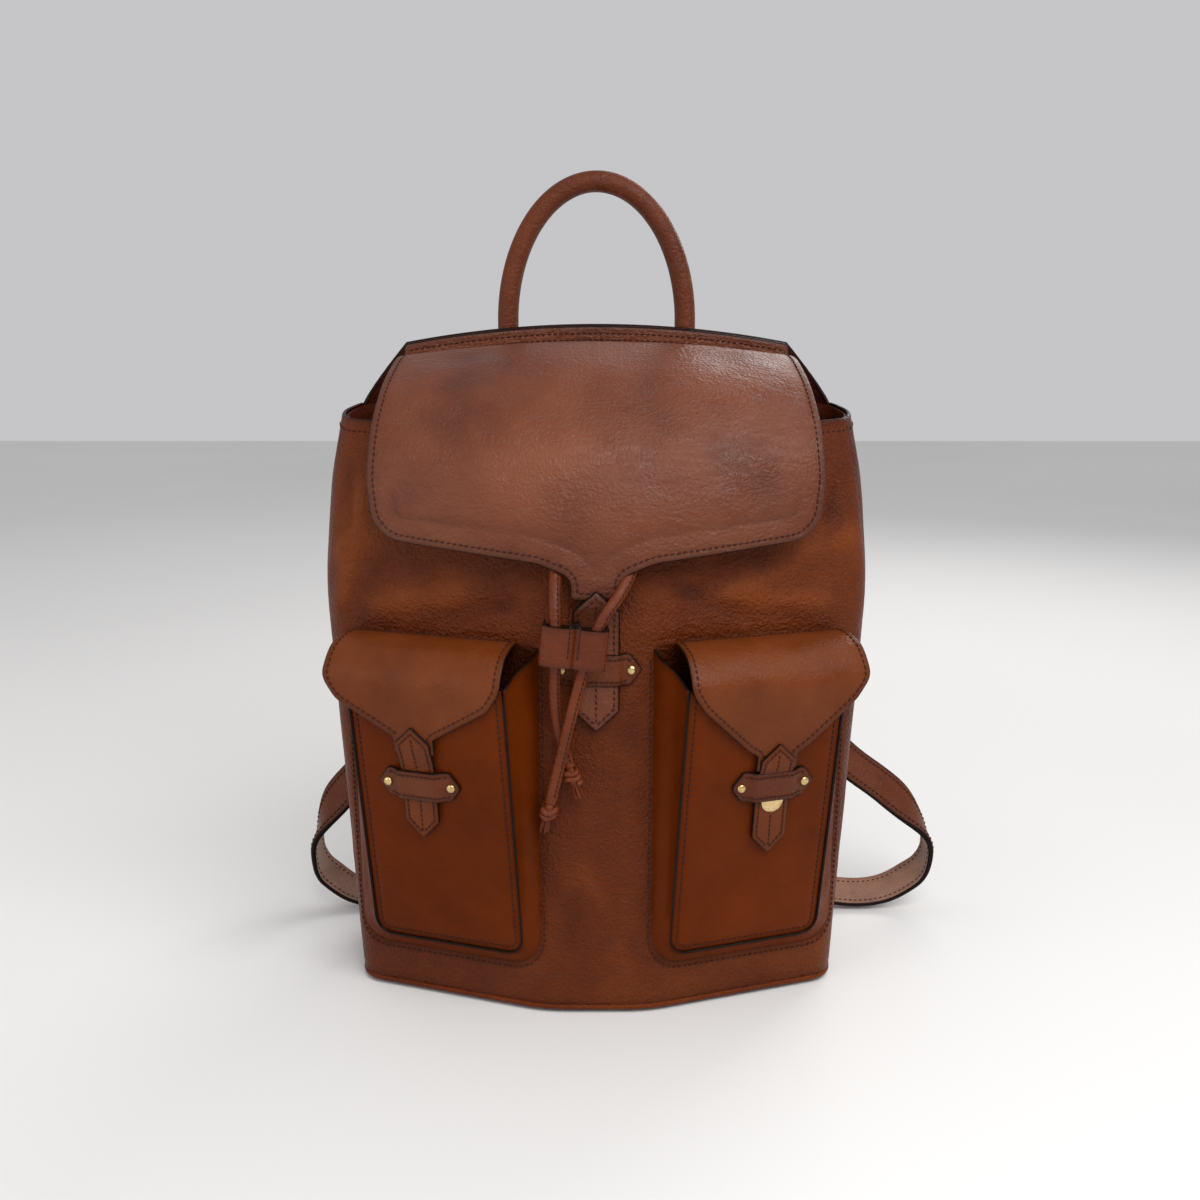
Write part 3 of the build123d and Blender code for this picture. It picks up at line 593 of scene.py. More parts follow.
def bends(obj, a, b, start, end, slot, *nodes):
    """The piece crosses a hinge between two bodies; this only hides the nodes it stands for and bakes its place.
    """
    if nodes:
        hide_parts(*nodes)
    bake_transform(obj)
    return obj


def belongs(obj, body, slot, *nodes):
    """The piece rides on a body and stands for these nodes, which it hides."""
    if nodes:
        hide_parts(*nodes)
    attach(obj, body)
    return obj


# %% [markdown]
# ## Stitches
# Each stitch is a small thread capsule that sinks at both ends, laid end to end along a line at a fixed
# pitch. A row is one mesh. Real stitches lean a little, because the needle passes beside the last thread.


# %% Stitch rows
stitch_pitch, stitch_length, thread_radius = 3.3 * mm, 2.5 * mm, 0.44 * mm


def stitch_row(name, lines, place, side=1, lean=0.10, pitch=stitch_pitch, sink=0.10 * mm):
    """Stitches along flat lines; every line is a list of flat points."""
    verts, faces = [], []
    rings, spokes = 5, 6
    for line in lines:
        line = walk(line, 0.6 * mm, closed=False)
        spots = place(line[:, 0], line[:, 1])
        normals = facing_of(place, line, side)
        along = np.concatenate([[0], np.cumsum(np.linalg.norm(np.diff(spots, axis=0), axis=1))])
        for number in range(int(along[-1] / pitch)):
            at = (number + 0.5) * pitch
            centre = np.array([np.interp(at, along, spots[:, k]) for k in range(3)])
            i = min(np.searchsorted(along, at), len(line) - 1)
            run = spots[min(i + 1, len(line) - 1)] - spots[max(i - 1, 0)]
            run /= max(np.linalg.norm(run), 1e-12)
            normal = normals[i]
            cross = np.cross(normal, run)
            run = run + cross * lean
            run /= np.linalg.norm(run)
            cross = np.cross(normal, run)
            first = len(verts)
            for ring in range(rings):
                share = ring / (rings - 1) * 2 - 1
                body = max(1 - share**2, 0.0) ** 0.35
                middle_point = centre + run * (share * stitch_length / 2)
                middle_point = middle_point + normal * (body * 0.22 * mm - sink)
                for spoke in range(spokes):
                    turn = 2 * pi * spoke / spokes
                    size = thread_radius * max(body, 0.25)
                    verts.append(middle_point + cross * size * cos(turn) + normal * size * sin(turn))
            for ring in range(rings - 1):
                for spoke in range(spokes):
                    a = first + ring * spokes + spoke
                    b = first + ring * spokes + (spoke + 1) % spokes
                    faces.append((a, b, b + spokes, a + spokes))
            faces.append(tuple(first + k for k in reversed(range(spokes))))
            faces.append(tuple(first + (rings - 1) * spokes + k for k in range(spokes)))
    return mesh_piece(name, verts, faces, [stitching])


def mesh_piece(name, verts, faces, materials, smooth=True):
    mesh = bpy.data.meshes.new(name)
    mesh.from_pydata([tuple(v) for v in verts], [], faces)
    for material in materials:
        mesh.materials.append(material)
    mesh.polygons.foreach_set("use_smooth", [smooth] * len(faces))
    written = mesh.attributes.new("fold", "FLOAT", "POINT")
    written.data.foreach_set("value", [0.5] * len(verts))
    mesh.update()
    obj = bpy.data.objects.new(name, mesh)
    bpy.context.scene.collection.objects.link(obj)
    return obj


def band_mesh(name, rows, materials, closed_rows=True, closed_run=False, caps=True):
    """A skin over rows of points, each row one ring round the piece."""
    verts = [p for row in rows for p in row]
    size, faces = len(rows[0]), []
    last = len(rows) if closed_run else len(rows) - 1
    for r in range(last):
        for k in range(size if closed_rows else size - 1):
            a, b = r * size + k, r * size + (k + 1) % size
            c, d = (r + 1) % len(rows) * size + (k + 1) % size, (r + 1) % len(rows) * size + k
            faces.append((a, b, c, d))
    if caps and closed_rows and not closed_run:
        faces.append(tuple(reversed(range(size))))
        faces.append(tuple((len(rows) - 1) * size + k for k in range(size)))
    return mesh_piece(name, verts, faces, materials)


def turned(name, profile, frame_at, material, spokes=28, closed=False):
    """A round piece turned from a profile of (radius, height) about a local Z axis."""
    rows = []
    for radius, height in profile:
        rows.append([
            tuple(frame_at @ Vector((radius * cos(2 * pi * k / spokes),
                                     radius * sin(2 * pi * k / spokes), height)))
            for k in range(spokes)
        ])
    return band_mesh(name, rows, [material], closed_run=closed)


def loft_line(points, count):
    """A smooth line through points (Catmull-Rom), evenly sampled by share of its length."""
    points = np.asarray(points, float)
    ends = np.vstack([2 * points[0] - points[1], points, 2 * points[-1] - points[-2]])
    fine = []
    for i in range(1, len(ends) - 2):
        p0, p1, p2, p3 = ends[i - 1:i + 3]
        for t in np.linspace(0, 1, 16, endpoint=False):
            fine.append(0.5 * (2 * p1 + (p2 - p0) * t + (2 * p0 - 5 * p1 + 4 * p2 - p3) * t**2
                               + (3 * p1 - p0 - 3 * p2 + p3) * t**3))
    fine.append(points[-1])
    fine = np.array(fine)
    along = np.concatenate([[0], np.cumsum(np.linalg.norm(np.diff(fine, axis=0), axis=1))])
    at = np.linspace(0, along[-1], count)
    return np.stack([np.interp(at, along, fine[:, k]) for k in range(fine.shape[1])], 1), along[-1]


print("helpers ready")

# %% [markdown]
# ## The bag's body
# The body is a tube of leather: a flat back, a nearly flat front with two faces that slant away for the
# pockets, and soft corners. We describe its plan at any height, walk round that plan by distance from the
# front's middle, and so can lay any flat panel on it, windows and all, as the maker would.

# %% Body shape
base_half, waist_half, shoulder_half, rim_half = 140 * mm, 154 * mm, 149 * mm, 140 * mm
waist_z, pocket_top_z, shoulder_z, rim_z = 236 * mm, 216 * mm, 290 * mm, 335 * mm
front_y, rim_front_y, back_y = -62 * mm, -44 * mm, 62 * mm
front_flat_half, slant = 28 * mm, tan(radians(19))
heights = np.arange(0, 376, 4) * mm


def eased(z, places, values, reach=14 * mm):
    """A piecewise line, softened by averaging a little above and below."""
    steps = np.linspace(-reach, reach, 9)
    return float(np.mean([np.interp(z + s, places, values) for s in steps]))


def plan(z):
    """Half of the bag's plan at a height, from the front's middle to the back's, as dense points."""
    half = eased(z, [0, waist_z, shoulder_z, rim_z], [base_half, waist_half, shoulder_half, rim_half])
    front = float(np.interp(z, [0, pocket_top_z, rim_z], [front_y, front_y, rim_front_y]))
    back = eased(z, [0, shoulder_z, rim_z, 371.5 * mm], [back_y, 55.2 * mm, 47.3 * mm, 39.3 * mm])
    if z < 7 * mm:
        tuck = 4.5 * mm * (1 - sqrt(max(0.0, 1 - ((7 * mm - z) / (7 * mm)) ** 2)))
        half, front, back = half - tuck, front + tuck, back - tuck
    corner = half - 6 * mm
    points = [
        (0, front), (front_flat_half, front),
        (corner, front + (corner - front_flat_half) * slant), (half, 14 * mm),
        (half - 8 * mm, back), (0, back),
    ]
    line = rounded(points, [0, 75 * mm, 17 * mm, 36 * mm, 25 * mm, 0], closed=False)
    return walk(line, 1.5 * mm, closed=False)


reach_steps = np.arange(0, 420, 1.5) * mm
table = np.zeros((len(heights), len(reach_steps), 2))
half_round = []
for row, height in enumerate(heights):
    line = plan(height)
    along = np.concatenate([[0], np.cumsum(np.linalg.norm(np.diff(line, axis=0), axis=1))])
    half_round.append(along[-1])
    over = np.maximum(reach_steps - along[-1], 0)
    table[row, :, 0] = np.interp(reach_steps, along, line[:, 0]) - over
    table[row, :, 1] = np.interp(reach_steps, along, line[:, 1])
half_round = np.array(half_round)


def looked_up(s, z):
    row = np.clip(z / (4 * mm), 0, len(heights) - 1.001)
    column = np.clip(s / (1.5 * mm), 0, len(reach_steps) - 1.001)
    r, c = row.astype(int), column.astype(int)
    fr, fc = (row - r)[:, None], (column - c)[:, None]
    low = table[r, c] * (1 - fc) + table[r, c + 1] * fc
    high = table[r + 1, c] * (1 - fc) + table[r + 1, c + 1] * fc
    return low * (1 - fr) + high * fr


def on_body(s, z, inset=0.0):
    """A place on the bag's skin: s is the distance round from the front's middle, z the height."""
    s, z = np.asarray(s, float), np.asarray(z, float)
    at = looked_up(np.abs(s), z)
    out = np.stack([np.where(s < 0, -at[:, 0], at[:, 0]), at[:, 1], z], 1)
    if inset:
        flat = np.stack([s, z], 1)
        out = out - facing_of(on_body, flat, 1) * inset
    return out


def round_to(z, y):
    """How far round the skin reaches a depth y on its side, at a height."""
    s = np.linspace(100 * mm, 330 * mm, 800)
    points = looked_up(s, np.full(len(s), float(z)))
    return float(s[np.argmax(points[:, 1] > y)])


def rim_height(s):
    """The mouth's rim: highest at the back, dipping a little to the front."""
    y = looked_up(np.abs(np.atleast_1d(s)), np.full(np.size(s), 322 * mm))[:, 1]
    return 329 * mm + (y - 47.3 * mm) * (13 / 91.3)


seam_front_y, seam_back_y = -4 * mm, 36 * mm
print("round the base:", round(2 * half_round[1], 4), "m")

# %% [markdown]
# ## Pocket faces
# A pocket sits on a slanting face. Its own flat coordinates run outwards across that face (u), up (z) and
# away from the bag (n). One function carries (u, n, z) into the room, mirrored for the left pocket.

# %% Pocket coordinates
pocket_x = 85.5 * mm
tilt = radians(19)
sides = {"left": -1, "right": 1}


def pocket_place(sign, u, n, z):
    u, n, z = (np.asarray(v, float) for v in (u, n, z))
    middle_y = front_y + (pocket_x - front_flat_half) * slant
    x = pocket_x + u * cos(tilt) + n * sin(tilt)
    y = middle_y + u * sin(tilt) - n * cos(tilt)
    x, y, z = np.broadcast_arrays(sign * x, y, z)
    return np.stack([x, y, z], 1)


mouth_turn = radians(8.5)


def leaned(n, z):
    """The pocket's front leans in towards its foot, turning about its mouth."""
    n, z = np.asarray(n, float) - 30 * mm, np.asarray(z, float) - 188 * mm
    return (30 * mm + z * sin(mouth_turn) + n * cos(mouth_turn),
            188 * mm + z * cos(mouth_turn) - n * sin(mouth_turn))


def on_pocket(sign, u, n, z):
    n, z = leaned(n, z)
    return pocket_place(sign, u, n, z)


def face_to_round(u):
    """Distance round the skin of a place across the pocket face."""
    return front_flat_half + (pocket_x - front_flat_half) / cos(tilt) + u


window = rounded([(-57 * mm, 206 * mm), (-57 * mm, 28 * mm), (50 * mm, 28 * mm), (50 * mm, 206 * mm)],
                 [3 * mm, 15 * mm, 15 * mm, 3 * mm])


# %% Creases
def ridge(flat, start, end, width, height):
    """A soft fold along a line, fading at both ends."""
    a, b = np.array(start) * mm, np.array(end) * mm
    run = b - a
    share = ((flat - a) @ run) / (run @ run)
    inside = np.clip(np.minimum(share, 1 - share) * 4, 0, 1)
    across = (flat - a) - np.clip(share, 0, 1)[:, None] * run
    distance = np.linalg.norm(across, axis=1)
    return height * mm * inside * inside * (3 - 2 * inside) * np.exp(-(distance / (width * mm)) ** 2)


def swell(flat, scale, height, seed):
    """Slow unevenness of soft leather."""
    return np.array([
        noise.noise(Vector((u * scale, v * scale, seed))) for u, v in flat
    ]) * height * mm


body_folds = [
    ((60, 232), (142, 222), 7, 2.0), ((36, 240), (92, 214), 5, -1.4), ((100, 250), (165, 262), 8, 1.8),
    ((46, 226), (120, 246), 5, 1.3), ((30, 214), (24, 150), 6, -1.2), ((-60, 236), (-140, 216), 8, 2.0),
    ((-36, 232), (-92, 212), 5, -1.3), ((-128, 300), (-150, 206), 6, 2.2),
    ((-142, 318), (-138, 240), 4, -1.6),
    ((-112, 262), (-168, 246), 8, 1.6), ((148, 306), (156, 226), 6, 1.8), ((136, 300), (128, 246), 4, -1.2),
    ((-30, 120), (-10, 60), 6, 0.8), ((24, 110), (2, 40), 7, -0.9), ((-12, 96), (22, 18), 5, 0.7),
    ((12, 160), (20, 110), 4, 0.8),
]


def body_relief(flat, far_from_edge):
    lift = swell(flat, 22, 1.2, 3.0) + swell(flat, 60, 0.5, 8.0)
    for start, end, width, height in body_folds:
        lift = lift + ridge(flat, start, end, width, height)
    return lift * far_from_edge


# %% Front panel with two windows
def panel_outline(left, right, top, low_z=4 * mm):
    """A closed flat outline between two rising sides, over the base and under the rim."""
    rise = np.linspace(low_z, 322 * mm, 60)
    right_side = [(right(z), z) for z in rise]
    left_side = [(left(z), z) for z in rise[::-1]]
    right_side = [(s, z) for s, z in right_side if z < top(s) - 2 * mm]
    left_side = [(s, z) for s, z in left_side if z < top(s) - 2 * mm]
    rim = [(s, top(s)) for s in np.linspace(right_side[-1][0], left_side[0][0], 90)]
    return walk(np.array(right_side + rim + left_side), 2.5 * mm)


def rim_of(s):
    return float(rim_height(s)[0])


seam_table = {y: [round_to(z, y) for z in heights] for y in (seam_front_y, seam_back_y)}


def seam(y, sign):
    return lambda z: sign * float(np.interp(z, heights, seam_table[y]))


front_outline = panel_outline(seam(seam_front_y, -1), seam(seam_front_y, 1), rim_of)
eyelet_z, eyelet_xs = 298 * mm, [x * mm for x in (-110, -62, -20, 20, 62, 110)]


def eyelet_round(x):
    if abs(x) <= front_flat_half:
        return x
    return (x / abs(x)) * (front_flat_half + (abs(x) - front_flat_half) / cos(tilt))


def disc(middle, radius, count=22):
    turns = 2 * pi * np.arange(count) / count
    return np.stack([middle[0] + radius * np.cos(turns), middle[1] + radius * np.sin(turns)], 1)


window_holes = []
eyelet_holes = [disc((eyelet_round(x), eyelet_z), 3.9 * mm) for x in eyelet_xs]
for sign in (-1, 1):
    hole = window.copy()
    hole[:, 0] = sign * face_to_round(hole[:, 0])
    window_holes.append(walk(hole, 2.2 * mm))
front_panel = sheet(
    "front_panel_skin", front_outline, on_body, 2.0 * mm, 3.6 * mm, centre_leather, mouth_leather,
    holes=window_holes + eyelet_holes, groove=[(4.2 * mm, 0.25 * mm)], relief=body_relief, burnish_and_shade_reach=7 * mm,
)
belongs(front_panel, "bag", "leather", "front_panel")

# %% Side and back panels
for side, sign in sides.items():
    inner, outer = seam(seam_front_y, sign), seam(seam_back_y, sign)
    low, high = (inner, outer) if sign > 0 else (outer, inner)
    panel = sheet(
        f"side_skin_{side}", panel_outline(low, high, rim_of), on_body, 2.0 * mm, 4.5 * mm,
        body_leather, mouth_leather, groove=[(3.2 * mm, 0.2 * mm)], relief=body_relief,
        burnish_and_shade_reach=6 * mm,
    )
    belongs(panel, "bag", "leather", f"side_panel_{side}")


def on_back(q, z, inset=0.0):
    """The skin again, but measured from the middle of the back."""
    q, z = np.asarray(q, float), np.asarray(z, float)
    round_half = np.interp(z, heights, half_round)
    s = np.where(q < 0, -1.0, 1.0) * (round_half - np.abs(q))
    return on_body(s, z, inset)


def back_side(sign):
    def side_of(z):
        return sign * float(np.interp(z, heights, half_round - np.array(seam_table[seam_back_y])))
    return side_of


arch_fall, root_half = 10 * mm, 108.5 * mm
back_top_z = 371.5 * mm


def arched(x, top):
    return top - arch_fall * (np.abs(x) / root_half) ** 2


side_rise = np.linspace(4 * mm, 322 * mm, 50)
right_back = [(back_side(1)(z), z) for z in side_rise]
top_back = [(x, float(arched(x, back_top_z))) for x in np.linspace(root_half, -root_half, 60)]
left_back = [(-s, z) for s, z in reversed(right_back)]
back_outline = walk(np.array(right_back + top_back + left_back), 3 * mm)
back_skin = sheet(
    "back_skin", back_outline, on_back, 2.0 * mm, 5 * mm, body_leather, mouth_leather, side=-1,
    groove=[(4 * mm, 0.25 * mm)], burnish_and_shade_reach=8 * mm,
    relief=lambda flat, room: (swell(flat, 20, 1.0, 5.0) + swell(flat, 55, 0.4, 1.0)) * room,
)
belongs(back_skin, "bag", "leather", "back_panel")
around_windows = []
for hole in window_holes:
    around_windows += inset_lines(hole, -3.4 * mm, lambda u, v: v < 203 * mm)
window_stitches = stitch_row("window_stitches", around_windows, on_body)
belongs(window_stitches, "bag", "leather")
rim_end = seam(seam_back_y, 1)(320 * mm) - 2 * mm
rim_line = np.array([(s, rim_of(s) - 6 * mm) for s in np.linspace(-rim_end, rim_end, 160)])
belongs(stitch_row("rim_stitches", [rim_line], on_body), "bag", "leather")
print("body panels:", len(front_panel.data.polygons), "faces in front")

# %% [markdown]
# ## Pockets
# Each pocket is a bellows: a gusset runs from the window's edge out to the pocket's front, which is a
# slightly cushioned panel. Its flap folds over the top and narrows to a neck. A pointed tongue is sewn to
# the neck, slips under a stitched keeper and presses on to a snap.


# %% Profiles
class Profile:
    """A curve across a fold: gives the place at a distance along it."""

    def __init__(self, points):
        self.line, self.length = loft_line(np.array(points) * mm, 160)
        self.along = np.linspace(0, self.length, 160)

    def at(self, distance):
        return [np.interp(distance, self.along, self.line[:, k]) for k in (0, 1)]

    def reach(self, height):
        """The distance along at which the curve, which falls, comes down to a height."""
        return np.interp(-np.asarray(height), -self.line[:, 1], self.along)


def smooth_step(value):
    value = np.clip(value, 0, 1)
    return value * value * (3 - 2 * value)


def pointed_band(half, width, point):
    """The outline of a keeper: a band with pointed ends."""
    h = width / 2
    corners = [(half, 0), (half - point, h), (-half + point, h), (-half, 0), (-half + point, -h),
               (half - point, -h)]
    return walk(rounded(np.array(corners) * mm, [1 * mm, 3 * mm] * 2 + [3 * mm] * 2), 1.3 * mm)


def chevron_tongue(half, apex, shoulder, lower, tip):
    """A tongue with a chevron head and a pointed end."""
    corners = [(0, tip), (half, lower), (half, shoulder), (0, apex), (-half, shoulder), (-half, lower)]
    return walk(rounded(np.array(corners) * mm, [1.5 * mm, 2 * mm, 0.8 * mm, 0.8 * mm, 0.8 * mm, 2 * mm]),
                1.2 * mm)


def dome(name, at, facing, radius, height, material, body, slot, *nodes):
    """A round head standing on a surface."""
    frame_at = Matrix.Translation(Vector(at)) @ Vector(facing).to_track_quat("Z", "Y").to_matrix().to_4x4()
    profile = [(radius, -0.2 * mm), (radius, 0.25 * mm)]
    profile += [(radius * cos(radians(a)), 0.25 * mm + (height - 0.25 * mm) * sin(radians(a)))
                for a in (18, 36, 54, 70, 82)]
    profile.append((0.02 * mm, height))
    return belongs(turned(name, profile, frame_at, material), body, slot, *nodes)


# %% Keepers
def keeper(name, place, side, lift, node):
    """A band bowed over the tongue; place(u, v, n) puts it on its face."""
    def bowed(u, v):
        n = 1.9 * mm + (lift - 1.0) * mm * smooth_step((15.6 * mm - np.abs(u)) / (5.6 * mm))
        return place(u, v, n)
    outline = pointed_band(23.5, 16, 6)
    band = sheet(name, outline, bowed, 1.8 * mm, 1.5 * mm, strap_leather, side=side,
                 groove=[(2.1 * mm, 0.16 * mm)], burnish_and_shade_reach=3.5 * mm)
    belongs(band, "bag", "leather", node)
    lines = inset_lines(outline, 2.1 * mm, lambda u, v: abs(u) < 17.5 * mm and abs(v) > 4 * mm)
    rows = stitch_row(f"{name}_stitches", lines, bowed, side, pitch=2.6 * mm)
    belongs(rows, "bag", "leather")
    for end in (-1, 1):
        spot = np.array([[end * 18.3 * mm, 0.0]])
        at = bowed(spot[:, 0], spot[:, 1])[0]
        facing = facing_of(bowed, spot, side)[0]
        head = dome(f"{name}_rivet_{'a' if end < 0 else 'b'}", at, facing, 2.5 * mm, 1.6 * mm, brass,
                    "bag", "brass")
    return bowed


# %% Pocket bodies
front_line = rounded([(-50 * mm, 190 * mm), (-50 * mm, 35 * mm), (37 * mm, 35 * mm), (37 * mm, 190 * mm)],
                     [0, 9 * mm, 9 * mm, 0], closed=False)
window_line = rounded([(-57 * mm, 206 * mm), (-57 * mm, 28 * mm), (50 * mm, 28 * mm), (50 * mm, 206 * mm)],
                      [0, 15 * mm, 15 * mm, 0], closed=False)


def even(points, count):
    along = np.concatenate([[0], np.cumsum(np.linalg.norm(np.diff(points, axis=0), axis=1))])
    at = np.linspace(0, along[-1], count)
    return np.stack([np.interp(at, along, points[:, k]) for k in (0, 1)], 1)


gusset_from, gusset_to = even(window_line, 240), even(front_line, 240)
gusset_run, gusset_wide = 400 * mm, 31 * mm


def gusset_place(sign):
    def place(a, b):
        share = np.clip(a / gusset_run, 0, 1) * 239
        t = np.clip(b / gusset_wide, 0, 1)
        start = np.stack([np.interp(share, range(240), gusset_from[:, k]) for k in (0, 1)], 1)
        end = np.stack([np.interp(share, range(240), gusset_to[:, k]) for k in (0, 1)], 1)
        bulge = 1.2 * mm * np.sin(pi * t) * np.sin(2 * pi * t + 0.3)
        mix = start + (end - start) * t[:, None]
        towards = np.stack([np.where(share < 80, -1.0, np.where(share > 160, 1.0, 0.0)),
                            np.where((share > 90) & (share < 150), -1.0, 0.0)], 1)
        mix = mix + towards * bulge[:, None]
        front_n, front_z = leaned(28.6 * mm, end[:, 1])
        n = -2.4 * mm + (front_n + 2.4 * mm) * t
        return pocket_place(sign, mix[:, 0], n, mix[:, 1] + (front_z - end[:, 1]) * t)
    return place


def pocket_front_place(sign):
    def place(u, z):
        edge = np.minimum(np.minimum(u + 51 * mm, 38 * mm - u), z - 34 * mm)
        n = 30 * mm - 1.3 * mm * (1 - smooth_step(edge / (9 * mm)))
        n = n + 0.4 * mm * np.sin(z / (23 * mm)) * smooth_step(edge / (20 * mm))
        return on_pocket(sign, u, n, z)
    return place


for side, sign in sides.items():
    place = gusset_place(sign)
    strip = [(0, 0), (gusset_run, 0), (gusset_run, gusset_wide), (0, gusset_wide)]
    gusset = sheet(f"gusset_{side}", walk(np.array(strip), 2.2 * mm), place, 1.6 * mm, 3.6 * mm,
                   pocket_leather, side=-sign, burnish_and_shade_reach=5 * mm)
    belongs(gusset, "bag", "leather", f"pocket_gusset_{side}")

    place = pocket_front_place(sign)
    outline = walk(rounded([(-51 * mm, 189 * mm), (-51 * mm, 34 * mm), (38 * mm, 34 * mm), (38 * mm, 189 * mm)],
                           [2 * mm, 9 * mm, 9 * mm, 2 * mm]), 1.8 * mm)
    face = sheet(f"pocket_face_{side}", outline, place, 2.0 * mm, 2.8 * mm, pocket_leather,
                 pocket_leather, pocket_leather, side=sign,
                 groove=[(4.0 * mm, 0.22 * mm)], burnish_and_shade_reach=5 * mm,
                 relief=lambda flat, room: swell(flat, 34, 0.8, 4.0 + sign) * room)
    belongs(face, "bag", "leather", f"pocket_front_{side}")
    lines = inset_lines(outline, 4.0 * mm, lambda u, v: v < 186 * mm)
    belongs(stitch_row(f"pocket_stitches_{side}", lines, place, sign), "bag", "leather")

    def on_face(u, v, n, sign=sign):
        return on_pocket(sign, u, 30 * mm + n, 133 * mm + v)

    keeper(f"pocket_keeper_band_{side}", on_face, sign, 3.9, f"pocket_keeper_{side}")

# %% Pocket flaps
flap_slot = "flap_leather"
for side, sign in sides.items():
    lower = 0 if side == "left" else 9
    body = f"pocket_flap_{side}"
    low_fold = [leaned(n * mm, z * mm) for n, z in ((34.4, 179), (34.2, 165 - lower), (34, 150 - lower))]
    fold = Profile([(1.4, 209.8), (13, 209.4), (25, 204.5), (33.4, 193)]
                   + [(float(n) / mm, float(z) / mm) for n, z in low_fold])

    def fold_place(u, d, fold=fold, sign=sign):
        n, z = fold.at(d)
        outwards = smooth_step((np.abs(u) - 40 * mm) / (14 * mm))
        tuck = 1.3 * mm * outwards * smooth_step((d - 20 * mm) / (15 * mm))
        return pocket_place(sign, u, n - tuck, z)

    corners = [(-48.5, 209.8), (-50.5, 190), (-43.5, 179.5), (-17, 164 - lower), (-11.2, 160.5 - lower),
               (-11.2, 152 - lower), (11.2, 152 - lower), (11.2, 160.5 - lower), (17, 164 - lower),
               (43.5, 179.5), (50.5, 190), (48.5, 209.8)]
    flat = [(u * mm, float(fold.reach(z * mm)) if z < 209 else 0.0) for u, z in corners]
    turns = [4, 14, 14, 4, 2.5, 0, 0, 2.5, 4, 14, 14, 4]
    outline = walk(rounded(flat, [t * mm for t in turns]), 1.6 * mm)
    flap = sheet(f"pocket_flap_skin_{side}", outline, fold_place, 1.4 * mm, 2.6 * mm, pocket_flap_leather,
                 side=-sign, groove=[(2.9 * mm, 0.2 * mm)], burnish_and_shade_reach=5 * mm,
                 relief=lambda flat, room: (swell(flat, 40, 1.0, 9.0 + sign) + swell(flat, 90, 0.5, 2.0)) * room)
    belongs(flap, body, flap_slot, f"pocket_flap_{side}")
    lines = inset_lines(outline, 2.9 * mm, lambda u, d: d < float(fold.reach((158 - lower) * mm)))
    belongs(stitch_row(f"pocket_flap_stitches_{side}", lines, fold_place, -sign), body, flap_slot)
    under = sheet(f"pocket_flap_under_{side}", walk(shrunk(anticlockwise(outline), 1.4 * mm), 2 * mm),
                  behind(fold_place, -sign, 1.5 * mm), 0.5 * mm, 3.4 * mm, lining_material, rim=lining_material,
                  side=-sign, burnish_and_shade_reach=2 * mm)
    belongs(under, body, "lining", f"pocket_flap_lining_{side}")

    drop = np.array([(36.0, 168), (36.0, 156), (34.1, 150), (32.8, 144), (32.5, 133), (32.7, 118),
                     (33.5, 102)]) * mm
    drop[:, 1] -= lower * mm

    def tongue_place(u, z, drop=drop, sign=sign):
        n = np.mean([np.interp(-(z + k * mm), -drop[:, 1], drop[:, 0]) for k in (-3, -1.5, 0, 1.5, 3)], 0)
        return on_pocket(sign, u, n, z)

    outline = chevron_tongue(9.5, 167 - lower, 158 - lower, 112 - lower, 102 - lower)
    tongue = sheet(f"pocket_tongue_skin_{side}", outline, tongue_place, 1.7 * mm, 1.5 * mm, pocket_flap_leather,
                   side=sign, groove=[(2.1 * mm, 0.16 * mm)], burnish_and_shade_reach=3 * mm)
    belongs(tongue, body, flap_slot, f"pocket_tongue_{side}")
    cap_z = (132.5 - lower) * mm
    lines = inset_lines(outline, 2.1 * mm)
    for low, high in ((106, 125), (140, 163)):
        lines.append(np.array([(0, (low - lower) * mm), (0, (high - lower) * mm)]))
    belongs(stitch_row(f"pocket_tongue_stitches_{side}", lines, tongue_place, sign, pitch=2.7 * mm),
            body, flap_slot)
    spot = tongue_place(np.array([0.0]), np.array([cap_z]))[0]
    out = on_pocket(sign, [0.0], [1.0], [0.0])[0] - on_pocket(sign, [0.0], [0.0], [0.0])[0]
    dome(f"pocket_snap_head_{side}", spot, out, 6.4 * mm, 1.5 * mm, brass, body, "brass",
         f"pocket_snap_cap_{side}")
print("pockets made")

# %% [markdown]
# ## Mouth, lining and base
# Inside, the facing is the same leather in a darker colour, and the lining below it is an olive cloth. We trace
# the plan again at several heights, a few millimetres in, which gives a thin shell with two sides.


# %% Shells
def ring_at(z, inset, count=160):
    """The whole plan at a height, drawn in by an inset."""
    right = plan(z)
    whole = np.vstack([right, right[::-1][1:-1] * [-1, 1]])
    whole = walk(whole, 2 * mm)
    whole = anticlockwise(whole)
    along = np.linspace(0, len(whole), count, endpoint=False)
    closed = np.vstack([whole, whole[:1]])
    line = np.stack([np.interp(along, range(len(closed)), closed[:, k]) for k in (0, 1)], 1)
    return shrunk(line, inset)


def shell(name, levels, inset, thick, material, top_of=None):
    """A thin wall that follows the plan, open above and below."""
    rows = []
    for z, way in [(z, 0) for z in levels] + [(z, 1) for z in reversed(levels)]:
        at_top = top_of is not None and z == levels[-1]
        line = ring_at(z + 9 * mm if at_top else z, inset + way * thick)
        high = np.array([top_of(y) for y in line[:, 1]]) if at_top else np.full(len(line), z)
        rows.append([(x, y, h) for (x, y), h in zip(line, high)])
    return band_mesh(name, rows, [material], closed_run=True)


